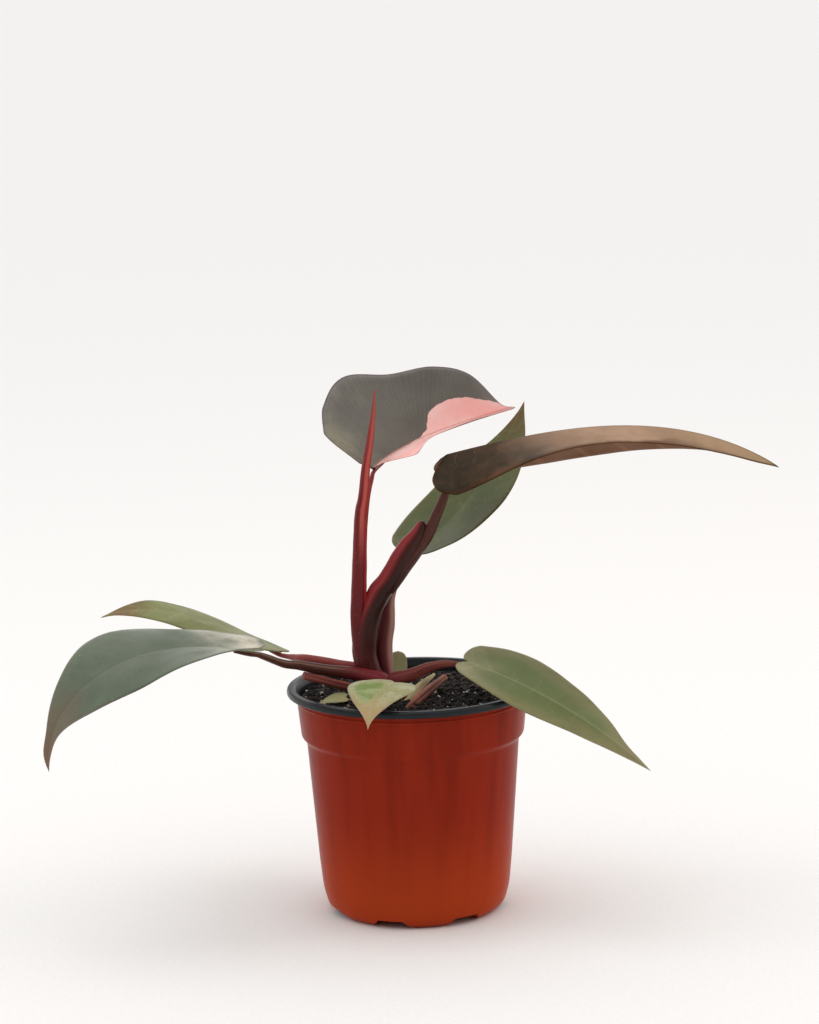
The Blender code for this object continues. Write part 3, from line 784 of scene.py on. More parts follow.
@dataclass(frozen=True)
class Stalk:
    """A stalk along (x, y, z, radius) points, with ridges set by their angle from the viewer's side."""

    path: tuple[tuple[float, float, float, float], ...]
    end: End = End.ROUND
    ridges: tuple[Ridge, ...] = ()
    around: int = 40
    spacing: float = 1.2
    knobbly: float = 0.05

    FEWEST_STEPS = 12
    THINNEST = 0.05
    # Rings that close each end, and how far the buried end bulges as a share of its radius
    CLOSING = 6
    FOOT_BULGE = 0.4
    # Share of the length in which a ridge grows or dies out, and the size of the small bumps
    RIDGE_RUN = 0.08
    BUMP_SIZE = 6.0

    def swelling(self, angle: float, along: float) -> float:
        """How much the ridges and small bumps change the radius.

        Args:
            angle: Degrees from the viewer's side.
            along: Share of the length.

        Returns:
            A factor of the radius.
        """
        factor = 1.0
        for ridge in self.ridges:
            away = (angle - ridge.angle + 180) % 360 - 180
            grown = eased(along, ridge.start, ridge.start + self.RIDGE_RUN)
            there = grown * (1 - eased(along, ridge.end - self.RIDGE_RUN, ridge.end))
            factor += ridge.height * there * math.exp(-((away / ridge.width) ** 2))
        return factor

    def rings(self) -> list[tuple[Vector, float, float]]:
        """Place the rings of the tube, with the closing rings of both ends.

        Returns:
            Centre, radius and share of the length of each ring.
        """
        length = sum((Vector(a[:3]) - Vector(b[:3])).length for a, b in zip(self.path, self.path[1:]))
        steps = max(self.FEWEST_STEPS, round(length / self.spacing))
        points = smooth_path(self.path, steps)
        rings = [(Vector(p[:3]), max(p[3], self.THINNEST), k / steps) for k, p in enumerate(points)]
        first, last = rings[0], rings[-1]
        ahead = (last[0] - rings[-2][0]).normalized()
        behind = (first[0] - rings[1][0]).normalized()
        for k in range(1, self.CLOSING + 1):
            turn = math.pi / 2 * k / self.CLOSING
            flat = 0.0 if self.end is End.CUT else math.sin(turn)
            rings.append((last[0] + ahead * last[1] * flat, last[1] * math.cos(turn), 1.0))
        for k in range(1, self.CLOSING + 1):
            turn = math.pi / 2 * k / self.CLOSING
            centre = first[0] + behind * first[1] * math.sin(turn) * self.FOOT_BULGE
            rings.insert(0, (centre, first[1] * math.cos(turn), 0.0))
        return rings

    def add_to(self, shape: bmesh.types.BMesh) -> None:
        """Add the stalk to a mesh.

        Args:
            shape: Mesh in metres that takes the tube.
        """
        rings = self.rings()
        count = len(rings) - 1
        made = bmesh.ops.create_grid(
            shape, x_segments=self.around, y_segments=count, size=1.0, calc_uvs=True
        )
        frames = []
        for k in range(count + 1):
            a = rings[max(k - 1, 0)][0]
            b = rings[min(k + 1, count)][0]
            tangent = (b - a).normalized() if (b - a).length > 1e-6 else frames[-1][0]
            front = Vector((0, -1, 0))
            front = (front - tangent * front.dot(tangent)).normalized()
            frames.append((tangent, front, tangent.cross(front)))
        middle = len(rings) // 2
        for k, ring in enumerate(rings):
            if ring[2] in (0.0, 1.0):
                frames[k] = frames[self.CLOSING if k < middle else count - self.CLOSING]
        for vertex in made["verts"]:
            k = round((vertex.co.y + 1) / 2 * count)
            angle = 180 * vertex.co.x
            centre, radius, along = rings[k]
            turn = math.radians(angle)
            direction = frames[k][1] * math.cos(turn) + frames[k][2] * math.sin(turn)
            spot = centre + direction * radius
            bumps = 1 + self.knobbly * noise.noise(spot / self.BUMP_SIZE)
            vertex.co = (centre + direction * radius * self.swelling(angle, along) * bumps) * MM


@dataclass(frozen=True)
class StalkPiece:
    """One or more stalks that are one piece of the plant."""

    name: str
    slot: str
    node: str
    skins: tuple[StalkSkin, ...]
    stalks: tuple[Stalk, ...]

    def build(self) -> bpy.types.Object:
        """Make the piece, with one material for each of its stalks.

        Returns:
            The new piece.
        """
        shape = bmesh.new()
        shape.loops.layers.uv.new("stalk")
        for number, stalk in enumerate(self.stalks):
            before = set(shape.faces)
            stalk.add_to(shape)
            for face in shape.faces:
                if face not in before:
                    face.material_index = number
        bmesh.ops.remove_doubles(shape, verts=shape.verts, dist=MERGE)
        bmesh.ops.recalc_face_normals(shape, faces=shape.faces)
        return make_piece(shape, self.name, [skin.build() for skin in self.skins], (self.node,))


@dataclass(frozen=True)
class FormedPlastic:
    """Polypropylene sheet, vacuum formed over a mould: glossy, with faint lines where the sheet was drawn."""

    name: str
    colour: str
    shade: str
    # A glow colour and its height in millimetres: painted light near the foot, which stands in for light from
    # the floor
    painted_glow: str
    painted_glow_height: float
    roughness: float
    specular: float

    # Spacing of the drawn lines and how long they are drawn out, size of the scuffs and of shallow waves
    LINE_SPACING = 9.0
    DRAWN_OUT = (1.0, 1.0, 0.06)
    SCUFF_SIZE = 3.0
    WAVE_SIZE = 6.0
    WAVE_HEIGHT = 0.12
    # Index of refraction of polypropylene
    INDEX = 1.49

    def build(self) -> bpy.types.Material:
        """The material, read by height and by fine upright lines.

        Returns:
            The material.
        """
        made, tree = new_material(self.name)
        where = add_node(tree, "ShaderNodeTexCoord").outputs["Object"]
        height = add_node(tree, "ShaderNodeSeparateXYZ", {0: where}).outputs["Z"]
        drawn = add_node(tree, "ShaderNodeMapping", {"Vector": where, "Scale": self.DRAWN_OUT}).outputs[0]
        strands = {"Vector": drawn, "Scale": 1 / (self.LINE_SPACING * MM)}
        lines = add_node(tree, "ShaderNodeTexNoise", strands).outputs[0]
        colour = paint_over(tree, linear(self.colour), linear(self.shade), lines, 0.35, 0.7, 0.5)
        # Warmer, lighter orange towards the foot: painted light, standing in for light from the floor on the
        # lower wall
        colour = paint_over(tree, colour, linear(self.painted_glow), height, self.painted_glow_height * MM, 0.0, 0.75)
        wear = {"Vector": where, "Scale": 1 / (self.SCUFF_SIZE * MM), "Detail": 5.0}
        scuffs = add_node(tree, "ShaderNodeTexNoise", wear).outputs[0]
        colour = paint_over(tree, colour, linear(self.shade), scuffs, 0.6, 0.85, 0.25)
        slow = {"Vector": where, "Scale": 1 / (self.WAVE_SIZE * MM)}
        waves = add_node(tree, "ShaderNodeTexNoise", slow).outputs[0]
        finish_surface(
            tree,
            colour,
            waves,
            self.WAVE_HEIGHT,
            Roughness=self.roughness,
            Specular_IOR_Level=self.specular,
            IOR=self.INDEX,
        )
        return made


@dataclass(frozen=True)
class NurseryPot:
    """Thin round pot, turned about Z: (radius, height) corners down the outside and up the inside."""

    height: float = 106.4
    rim_line: float = 103.1
    steps: int = 210
    grooves: int = 7
    first_groove: float = -107.8
    groove_width: float = 13.0
    groove_foot: float = 18.0
    groove_height: float = 4.0
    drain_radius: float = 3.5
    drain_place: float = 33.0
    skin: FormedPlastic = FormedPlastic(
        "formed_terracotta_plastic", "902A17", "701D10", "B4431C", 60.0, 0.3, 0.035
    )
    lining: FormedPlastic = FormedPlastic(
        "formed_black_plastic", "1E2225", "15191B", "1E2225", 1.0, 0.32, 0.2
    )

    FLOOR = 1.0
    GROOVE_INNER = 20.0
    GROOVE_OUTER = 60.0
    BELOW = -1.0
    DRAIN_DEPTH = 4.0
    DRAIN_SIDES = 32
    # Edges that are sharper than this many degrees stay sharp
    SHARP = 35
    # Steps in a rounded corner, and the most of a side that a rounding takes up
    CORNER_PARTS = 4
    SIDE_SHARE = 0.45
    # (radius, height, rounding) of each corner
    OUTSIDE = (
        (54.9, 106.4, 0.4),
        (57.2, 106.4, 0.9),
        (58.0, 105.4, 0.5),
        (58.0, 103.6, 0.4),
        (57.2, 103.1, 0.3),
        (53.75, 103.1, 0.4),
        (53.45, 101.0, 0.3),
        (53.75, 100.3, 0.3),
        (53.35, 99.6, 0.3),
        (51.75, 83.7, 1.0),
        (49.6, 81.5, 1.0),
        (49.25, 79.5, 0.8),
        (46.8, 48.0, 2.0),
        (45.0, 25.0, 2.0),
        (43.6, 11.0, 3.0),
        (41.4, 3.2, 2.5),
        (37.4, 0.0, 1.5),
    )
    INSIDE = (
        (36.8, 1.0, 1.5),
        (40.6, 4.1, 2.5),
        (42.6, 11.4, 3.0),
        (44.0, 25.0, 2.0),
        (45.8, 48.0, 2.0),
        (48.2, 79.5, 0.8),
        (48.6, 81.2, 1.0),
        (50.7, 83.6, 1.0),
        (52.1, 98.5, 1.0),
        (52.5, 103.0, 1.0),
        (54.0, 105.8, 0.6),
        (54.9, 106.4, 0.1),
        (55.0, 108.0, 0.1),
        (0.0, 108.0, 0.0),
    )

    def rounded(self, corners: tuple) -> list[Vector]:
        """Round the inner corners of a profile.

        Args:
            corners: (radius, height, rounding) points.

        Returns:
            The points of the rounded profile.
        """
        points = [Vector((corners[0][0], 0, corners[0][1]))]
        for before, corner, after in zip(corners, corners[1:], corners[2:]):
            here = Vector((corner[0], 0, corner[1]))
            back = Vector((before[0], 0, before[1])) - here
            ahead = Vector((after[0], 0, after[1])) - here
            reach = min(corner[2], back.length * self.SIDE_SHARE, ahead.length * self.SIDE_SHARE)
            start = here + back.normalized() * reach
            end = here + ahead.normalized() * reach
            for k in range(self.CORNER_PARTS + 1):
                t = k / self.CORNER_PARTS
                points.append(start * (1 - t) ** 2 + here * (2 * t * (1 - t)) + end * t**2)
        points.append(Vector((corners[-1][0], 0, corners[-1][1])))
        return points

    def turned(self, corners: tuple) -> bmesh.types.BMesh:
        """Spin a closed profile about Z.

        Args:
            corners: (radius, height, rounding) points.

        Returns:
            The turned mesh in metres.
        """
        shape = bmesh.new()
        line = [shape.verts.new(point * MM) for point in self.rounded(corners)]
        edges = [shape.edges.new(pair) for pair in zip(line, line[1:])]
        bmesh.ops.spin(
            shape,
            geom=line + edges,
            axis=(0, 0, 1),
            cent=(0, 0, 0),
            steps=self.steps,
            angle=2 * math.pi,
            use_merge=True,
        )
        bmesh.ops.remove_doubles(shape, verts=shape.verts, dist=MERGE)
        bmesh.ops.recalc_face_normals(shape, faces=shape.faces)
        return shape

    def groove_tool(self, extra: float) -> bpy.types.Object:
        """Bars with sloping sides that cut the grooves under the floor.

        Args:
            extra: How much larger they are all round.

        Returns:
            The object of the bars.
        """
        shape = bmesh.new()
        high = self.groove_height + extra
        for k in range(self.grooves):
            turn = Matrix.Rotation(math.radians(self.first_groove + 360 / self.grooves * k), 4, "Z")
            made = bmesh.ops.create_cube(shape, size=1.0)
            for vertex in made["verts"]:
                upper = vertex.co.z > 0
                width = self.groove_width - 1.0 if upper else self.groove_foot + 2.0
                reach = self.GROOVE_INNER - extra if vertex.co.x < 0 else self.GROOVE_OUTER
                across = math.copysign(width / 2 + extra, vertex.co.y)
                vertex.co = turn @ Vector((reach, across, high if upper else self.BELOW)) * MM
            if not extra:
                drain = Matrix.Translation(Vector((self.drain_place, 0, self.groove_height)) * MM)
                radius = self.drain_radius * MM
                bmesh.ops.create_cone(
                    shape,
                    cap_ends=True,
                    segments=self.DRAIN_SIDES,
                    radius1=radius,
                    radius2=radius,
                    depth=self.DRAIN_DEPTH * MM,
                    matrix=turn @ drain,
                )
        bmesh.ops.recalc_face_normals(shape, faces=shape.faces)
        return self.loose(shape, "groove_tool")

    @staticmethod
    def loose(shape: bmesh.types.BMesh, name: str) -> bpy.types.Object:
        """A working object of a mesh.

        Args:
            shape: The mesh.
            name: Name of the object.

        Returns:
            The object, linked to the scene.
        """
        mesh = bpy.data.meshes.new(name)
        shape.to_mesh(mesh)
        shape.free()
        made = bpy.data.objects.new(name, mesh)
        bpy.context.scene.collection.objects.link(made)
        return made

    @staticmethod
    def cut(target: bpy.types.Object, tool: bpy.types.Object) -> None:
        """Cut one object with another and remove the tool.

        Args:
            target: Object that is cut.
            tool: Object that cuts it.
        """
        modifier = target.modifiers.new("cut", "BOOLEAN")
        modifier.operation = "DIFFERENCE"
        modifier.solver = "EXACT"
        modifier.use_self = True
        modifier.object = tool
        result = bpy.data.meshes.new_from_object(target.evaluated_get(bpy.context.evaluated_depsgraph_get()))
        target.modifiers.clear()
        target.data = result
        bpy.data.objects.remove(tool)

    def build(self) -> bpy.types.Object:
        """Make the pot with its black lining and rim.

        Returns:
            The new piece.
        """
        top = ((0.0, self.height, 0.0),)
        pot = self.loose(self.turned(top + self.OUTSIDE + ((0.0, 0.0, 0.0),)), "pot_body")
        cavity = self.loose(self.turned(((0.0, self.FLOOR, 0.0),) + self.INSIDE), "pot_cavity")
        self.cut(cavity, self.groove_tool(self.FLOOR))
        self.cut(pot, cavity)
        self.cut(pot, self.groove_tool(0.0))
        shape = bmesh.new()
        shape.from_mesh(pot.data)
        bpy.data.objects.remove(pot)
        shape.normal_update()
        for face in shape.faces:
            centre = face.calc_center_median()
            outward = Vector((centre.x, centre.y, 0)).normalized()
            facing_in = face.normal.dot(outward) < -0.2
            on_floor = face.normal.z > 0.5 and centre.z > self.FLOOR / 2 * MM
            face.material_index = int(centre.z > self.rim_line * MM or facing_in or on_floor)
        for edge in shape.edges:
            if len(edge.link_faces) == 2:
                edge.smooth = edge.calc_face_angle(0) < math.radians(self.SHARP)
        return make_piece(shape, "formed_pot", [self.skin.build(), self.lining.build()], ("pot",))


class GrainShape(Enum):
    """What a loose bit in the potting mix is."""

    CRUMB = "crumb"
    CHIP = "chip"
    FIBRE = "fibre"


@dataclass(frozen=True)
class Grain:
    """One kind of loose bit that lies on the potting mix."""

    name: str
    shape: GrainShape
    count: int
    smallest: float
    largest: float
    colour: str
    shade: str
    roughness: float
    seed: int

    def material(self) -> bpy.types.Material:
        """Dry organic or mineral matter: dull and uneven in colour.

        Returns:
            The material.
        """
        made, tree = new_material(f"{self.name}_matter")
        where = add_node(tree, "ShaderNodeTexCoord").outputs["Object"]
        blotches = {"Vector": where, "Scale": 1 / (3.0 * MM), "Detail": 3.0}
        patches = add_node(tree, "ShaderNodeTexNoise", blotches).outputs[0]
        pits = add_node(tree, "ShaderNodeTexNoise", blotches | {"Scale": 1 / (0.5 * MM)}).outputs[0]
        colour = paint_over(tree, linear(self.colour), linear(self.shade), patches, 0.35, 0.65)
        colour = paint_over(tree, colour, linear(self.shade), pits, 0.55, 0.75, 0.6)
        finish_surface(tree, colour, pits, 0.25, Roughness=self.roughness)
        return made


@dataclass(frozen=True)
class PottingMix:
    """Dark peat mix that fills the pot in a low mound, with crumbs, bark, fibres and perlite on it.

    mound and wall are (radius, height) points down the top and down the side.
    """

    mound: tuple[tuple[float, float], ...] = (
        (0.0, 102.4),
        (12.0, 102.4),
        (28.0, 102.2),
        (42.0, 101.4),
        (51.7, 100.6),
    )
    wall: tuple[tuple[float, float], ...] = (
        (50.3, 84.2),
        (48.1, 80.6),
        (45.4, 48.0),
        (43.6, 25.0),
        (42.3, 12.0),
        (41.0, 6.0),
        (0.0, 6.0),
    )
    steps: int = 180
    rings: int = 64
    roughest: float = 1.5
    spread: float = 50.3

    # (size in millimetres, layer of the noise, share of the roughness) of the lumps
    LUMPS = ((9.0, 3.0, 0.9), (3.2, 7.0, 0.7), (1.3, 1.0, 0.4))
    # Only the top is lumpy, and its lumps fade out at the pot's wall
    TOP_FROM = 99.0
    WALL_FADE = (49.5, 51.5)
    # A loose bit: how far its middle lies above the mix, how much it leans, and how uneven it is
    LIFT = 0.12
    LEAN = 0.6
    UNEVEN = 0.22

    def surface(self, radius: float) -> float:
        """Height of the plain mound.

        Args:
            radius: Distance from the pot's axis.

        Returns:
            Height in millimetres.
        """
        for (r0, z0), (r1, z1) in zip(self.mound, self.mound[1:]):
            if radius <= r1:
                return z0 + (z1 - z0) * (radius - r0) / (r1 - r0)
        return self.mound[-1][1]

    def bumps(self, x: float, y: float) -> float:
        """Lumps of the mix.

        Args:
            x: Place along X.
            y: Place along Y.

        Returns:
            Millimetres above the plain mound.
        """
        lumps = ((share, Vector((x / size, y / size, layer))) for size, layer, share in self.LUMPS)
        return self.roughest * sum(share * noise.noise(spot) for share, spot in lumps)

    def material(self) -> bpy.types.Material:
        """Damp peat: nearly black, crumbly and dull, with brown fibres.

        Returns:
            The material.
        """
        made, tree = new_material("damp_peat")
        where = add_node(tree, "ShaderNodeTexCoord").outputs["Object"]
        lumpy = {"Vector": where, "Scale": 1 / (7.0 * MM), "Detail": 3.0}
        lumps = add_node(tree, "ShaderNodeTexNoise", lumpy).outputs[0]
        crumbly = {"Vector": where, "Scale": 1 / (2.2 * MM), "Detail": 5.0}
        crumbs = add_node(tree, "ShaderNodeTexNoise", crumbly).outputs[0]
        colour = paint_over(tree, linear("100D0B"), linear("2A221C"), crumbs, 0.45, 0.7)
        colour = paint_over(tree, colour, linear("33251C"), lumps, 0.55, 0.8, 0.5)
        finish_surface(tree, colour, crumbs, 1.0, Roughness=0.92)
        return made

    def build_bed(self) -> bpy.types.Object:
        """Make the bed of the mix.

        Returns:
            The new piece.
        """
        shape = bmesh.new()
        reach = self.mound[-1][0]
        top = [(reach * k / self.rings, self.surface(reach * k / self.rings)) for k in range(self.rings + 1)]
        line = [shape.verts.new((radius * MM, 0.0, height * MM)) for radius, height in [*top, *self.wall]]
        edges = [shape.edges.new(pair) for pair in zip(line, line[1:])]
        bmesh.ops.spin(
            shape,
            geom=line + edges,
            axis=(0, 0, 1),
            cent=(0, 0, 0),
            steps=self.steps,
            angle=2 * math.pi,
            use_merge=True,
        )
        bmesh.ops.remove_doubles(shape, verts=shape.verts, dist=MERGE)
        bmesh.ops.recalc_face_normals(shape, faces=shape.faces)
        for vertex in shape.verts:
            x, y, z = vertex.co / MM
            radius = math.hypot(x, y)
            if z > self.TOP_FROM:
                vertex.co.z += self.bumps(x, y) * (1 - eased(radius, *self.WALL_FADE)) * MM
        return make_piece(shape, "potting_mix", [self.material()], ("soil",))

    def scatter(self, grain: Grain) -> bpy.types.Object:
        """Lay one kind of bit over the mix.

        Args:
            grain: Kind of bit.

        Returns:
            The new piece.
        """
        rng = random.Random(grain.seed)
        shape = bmesh.new()
        for _ in range(grain.count):
            radius = self.spread * math.sqrt(rng.random())
            angle = rng.uniform(-math.pi, math.pi)
            size = rng.uniform(grain.smallest, grain.largest)
            x, y = radius * math.cos(angle), radius * math.sin(angle)
            z = self.surface(radius) + self.bumps(x, y) + size * self.LIFT
            spin = Matrix.Rotation(rng.uniform(-math.pi, math.pi), 4, "Z")
            tilt = Matrix.Rotation(rng.uniform(-self.LEAN, self.LEAN), 4, "X")
            if grain.shape is GrainShape.CRUMB:
                scale = Vector((size, size * rng.uniform(0.6, 1.0), size * rng.uniform(0.45, 0.8)))
                made = bmesh.ops.create_icosphere(shape, subdivisions=1, radius=0.5)
            elif grain.shape is GrainShape.CHIP:
                scale = Vector((size, size * rng.uniform(0.35, 0.7), size * rng.uniform(0.15, 0.35)))
                made = bmesh.ops.create_cube(shape, size=1.0)
            else:
                scale = Vector((size, size * 0.07, size * 0.06))
                made = bmesh.ops.create_cube(shape, size=1.0)
            where = Matrix.Translation(Vector((x, y, z)) * MM) @ spin @ tilt
            for vertex in made["verts"]:
                jitter = 1 + rng.uniform(-self.UNEVEN, self.UNEVEN)
                local = Vector((vertex.co.x * scale.x, vertex.co.y * scale.y, vertex.co.z * scale.z))
                vertex.co = where @ (local * jitter * MM)
        bmesh.ops.recalc_face_normals(shape, faces=shape.faces)
        piece = make_piece(shape, grain.name, [grain.material()], ())
        for face in piece.data.polygons:
            face.use_smooth = False
        return piece

    def build(self) -> None:
        """Make the bed and all that lies on it."""
        self.build_bed()
        for grain in GRAINS:
            self.scatter(grain)


GRAINS = (
    Grain("peat_crumbs", GrainShape.CRUMB, 1600, 0.9, 2.7, "1A1512", "0D0B0A", 0.95, 11),
    Grain("bark_chips", GrainShape.CHIP, 120, 1.5, 4.2, "3E241A", "1E130E", 0.85, 23),
    Grain("coir_fibres", GrainShape.FIBRE, 90, 2.5, 7.0, "5E3C2C", "33211A", 0.85, 37),
    Grain("perlite", GrainShape.CRUMB, 170, 0.7, 2.3, "EDE9E0", "C4BEB2", 0.8, 51),
)

PINK_FORM = LeafForm(
    base=(-15.0, 9.0, 206.5),
    length=76.5,
    half_width=34.5,
    widest=1.06,
    lobe_left=0.85,
    lobe_right=0.3,
    wide_left=(0.20, 0.71, 0.86, 1.08, 1.24, 0.99, 0.87, 0.61, 0.11, 0.0),
    wide_right=(0.09, 0.46, 0.78, 0.89, 0.86, 0.73, 0.48, 0.25, 0.13, 0.0),
    heading=(53, 12, -8),
    rise=(23, 18, 16),
    roll=(14, 23, 25),
    fold_left=(42, 48, 52),
    fold_right=(48, 35, 30),
    curl_left=(-1, 4, 25),
    curl_right=(-31, -2, 6),
)
COPPER_FORM = LeafForm(
    base=(19.0, -0.5, 213.5),
    length=156.5,
    half_width=26.0,
    widest=1.08,
    lobe_left=0.37,
    lobe_right=0.45,
    wide_left=(0.21, 0.49, 0.76, 0.90, 0.93, 0.86, 0.66, 0.41, 0.20, 0.0),
    wide_right=(0.23, 0.55, 0.85, 1.01, 1.04, 0.96, 0.74, 0.46, 0.23, 0.0),
    heading=(1, -7, -3),
    rise=(13, 1, -35),
    roll=(-9, -15, 10),
    fold_left=(-15, -29, -50),
    fold_right=(-36, -27, -30),
    curl_left=(-25, -8, 4),
    curl_right=(-23, 1, -9),
)
REAR_FORM = LeafForm(
    base=(5.5, 22.0, 166.0),
    length=90.0,
    half_width=28.0,
    widest=0.95,
    lobe_left=0.44,
    lobe_right=0.42,
    wide_left=(0.05, 0.36, 0.74, 0.97, 0.99, 0.85, 0.51, 0.20, 0.05, 0.0),
    wide_right=(0.05, 0.37, 0.76, 0.97, 1.0, 0.91, 0.64, 0.34, 0.12, 0.0),
    heading=(26, 36, 45),
    rise=(30, 46, 56),
    roll=(-3, 4, 8),
    fold_left=(5, 4, -1),
    fold_right=(12, 5, -2),
    curl_left=(9, 4, -8),
    curl_right=(-11, -5, -2),
)
LEFT_FORM = LeafForm(
    base=(-72.5, -36.5, 132.0),
    length=124.5,
    half_width=31.5,
    widest=0.77,
    lobe_left=0.25,
    lobe_right=0.45,
    wide_left=(0.05, 0.24, 0.56, 0.91, 0.96, 0.86, 0.51, 0.15, 0.05, 0.0),
    wide_right=(0.08, 0.23, 0.54, 0.78, 1.07, 0.87, 0.41, 0.13, 0.08, 0.0),
    heading=(191, 205, 187),
    rise=(10, -18, -97),
    roll=(-7, -15, -32),
    fold_left=(21, 9, -12),
    fold_right=(11, 12, 26),
    curl_left=(-1, -17, -32),
    curl_right=(-30, -25, -4),
)
LEFT_REAR_FORM = LeafForm(
    base=(-62.0, 31.5, 116.5),
    length=89.0,
    half_width=27.0,
    widest=0.88,
    lobe_left=0.12,
    lobe_right=0.12,
    wide_left=(0.05, 0.30, 0.68, 0.94, 1.03, 0.93, 0.61, 0.29, 0.08, 0.0),
    wide_right=(0.05, 0.31, 0.67, 0.92, 0.99, 0.91, 0.63, 0.27, 0.06, 0.0),
    heading=(166, 183, 197),
    rise=(20, 18, -17),
    roll=(11, -1, -13),
    fold_left=(7, 1, 2),
    fold_right=(0, 2, 11),
    curl_left=(-11, -13, -12),
    curl_right=(-6, -12, -12),
)
RIGHT_FORM = LeafForm(
    base=(26.0, -19.0, 120.0),
    length=112.0,
    half_width=22.0,
    widest=1.05,
    lobe_left=0.25,
    lobe_right=0.25,
    wide_left=(0.06, 0.29, 0.74, 1.03, 1.12, 0.82, 0.49, 0.17, 0.06, 0.0),
    wide_right=(0.06, 0.28, 0.50, 0.77, 0.86, 0.78, 0.48, 0.24, 0.09, 0.0),
    heading=(-15, -43, -58),
    rise=(-18, -19, -18),
    roll=(12, 7, 2),
    fold_left=(-5, 0, -8),
    fold_right=(6, -6, -22),
    curl_left=(5, 6, 4),
    curl_right=(7, -5, -14),
)
FRONT_FORM = LeafForm(
    base=(-8.5, -38.0, 115.5),
    length=40.0,
    half_width=15.5,
    widest=1.0,
    lobe_left=1.24,
    lobe_right=0.96,
    wide_left=(0.07, 0.37, 0.64, 0.83, 0.89, 0.76, 0.48, 0.20, 0.05, 0.0),
    wide_right=(0.05, 0.34, 0.76, 1.02, 1.06, 0.93, 0.60, 0.24, 0.06, 0.0),
    heading=(238, 253, 263),
    rise=(7, -20, -49),
    roll=(-4, -7, -9),
    fold_left=(1, 2, 2),
    fold_right=(2, 5, 5),
    curl_left=(-13, -10, -9),
    curl_right=(-16, -13, -11),
)
LOW_FORM = LeafForm(
    base=(-30.5, -16.0, 104.2),
    length=13.0,
    half_width=4.4,
    widest=1.0,
    lobe_left=0.6,
    lobe_right=0.6,
    wide_left=EGG_SHAPED,
    wide_right=EGG_SHAPED,
    heading=(190, 190, 190),
    rise=(0, -10, -20),
    roll=(-18, -18, -15),
    fold_left=(5, 5, 5),
    fold_right=(5, 5, 5),
    curl_left=(0, 0, 0),
    curl_right=(0, 0, 0),
)
SMALL_REAR_FORM = LeafForm(
    base=(-6.5, 35.0, 104.6),
    length=9.5,
    half_width=4.8,
    widest=0.9,
    lobe_left=0.5,
    lobe_right=0.5,
    wide_left=(0.12, 0.6, 0.85, 0.97, 1.0, 0.98, 0.9, 0.72, 0.48, 0.0),
    wide_right=(0.12, 0.6, 0.85, 0.97, 1.0, 0.98, 0.9, 0.72, 0.48, 0.0),
    heading=(80, 80, 80),
    rise=(72, 75, 78),
    roll=(0, 0, 0),
    fold_left=(8, 8, 8),
    fold_right=(8, 8, 8),
    curl_left=(0, 0, 0),
    curl_right=(0, 0, 0),
)

PINK_SKIN = BladeSkin(
    name="glossy_variegated_leaf",
    base="87836F",
    middle="6C6A62",
    # Lighter tip: partly the leaf's own grey, partly a painted highlight where the upper part of the blade
    # faces the light
    tip="88837A",
    border="7A746E",
    border_width=8.0,
    mottle="565650",
    mottle_size=16.0,
    mottle_share=0.45,
    vein="A8A496",
    vein_share=0.45,
    midrib="C88A80",
    margin="6A4A54",
    under="8A7470",
    roughness=0.4,
    coat=0.1,
    fleck="9AA08E",
    patch="FFBDB6",
    patch_mottle="FFD2CC",
    margin_share=0.6,
    vein_fade=0.15,
    specular=0.35,
    fleck_reach=0.06,
)
COPPER_SKIN = BladeSkin(
    name="satin_copper_leaf",
    base="2E2312",
    middle="A68468",
    tip="A48A6A",
    border="5C3A24",
    border_width=4.0,
    mottle="644430",
    mottle_size=22.0,
    mottle_share=0.35,
    vein="A77A5A",
    vein_share=0.08,
    midrib="5E3426",
    margin="3C2418",
    under="80604C",
    roughness=0.42,
    coat=0.0,
    fleck="8A6448",
    fleck_reach=0.03,
    base_end=0.62,
    tip_start=0.72,
    veins=13.0,
    base_start=0.5,
    specular=0.12,
    midrib_share=0.4,
    margin_share=0.7,
)
REAR_SKIN = BladeSkin(
    name="olive_leaf",
    base="626640",
    middle="5A6238",
    tip="66502F",
    border="6A6640",
    border_width=7.0,
    mottle="465434",
    mottle_size=18.0,
    mottle_share=0.5,
    vein="8E9068",
    vein_share=0.14,
    midrib="8A8458",
    margin="7A6A4E",
    under="7C7A52",
    roughness=0.42,
    coat=0.0,
    fleck="9C9A70",
    midrib_share=0.12,
)
LEFT_SKIN = BladeSkin(
    name="grey_green_leaf",
    base="D2CAB8",
    middle="5E6856",
    tip="7A5E4C",
    border="66705C",
    border_width=6.0,
    mottle="4C5846",
    mottle_size=20.0,
    mottle_share=0.5,
    vein="76806C",
    vein_share=0.1,
    midrib="46523E",
    margin="9A8680",
    under="8C8A74",
    roughness=0.46,
    coat=0.0,
    fleck="A8AE98",
    fleck_reach=0.05,
    midrib_share=0.22,
    base_start=0.3,
    base_end=0.5,
    specular=0.34,
)
LEFT_REAR_SKIN = BladeSkin(
    name="yellow_green_leaf",
    base="787C42",
    middle="767A42",
    tip="7A5F3E",
    border="686838",
    border_width=5.0,
    mottle="646832",
    mottle_size=14.0,
    mottle_share=0.5,
    vein="A6A870",
    vein_share=0.2,
    midrib="8E8C52",
    margin="8A6E4C",
    under="8C8658",
    roughness=0.45,
    coat=0.0,
    fleck="B8BA8E",
    midrib_share=0.25,
)
RIGHT_SKIN = BladeSkin(
    name="green_leaf",
    base="A29872",
    middle="5C6A38",
    tip="7E7450",
    border="86805A",
    border_width=12.0,
    mottle="646840",
    mottle_size=20.0,
    mottle_share=0.5,
    vein="8A9062",
    vein_share=0.12,
    midrib="A09C74",
    margin="9A8A70",
    under="8C8862",
    roughness=0.42,
    coat=0.0,
    fleck="B4B48C",
    midrib_share=0.25,
    fleck_reach=0.05,
)
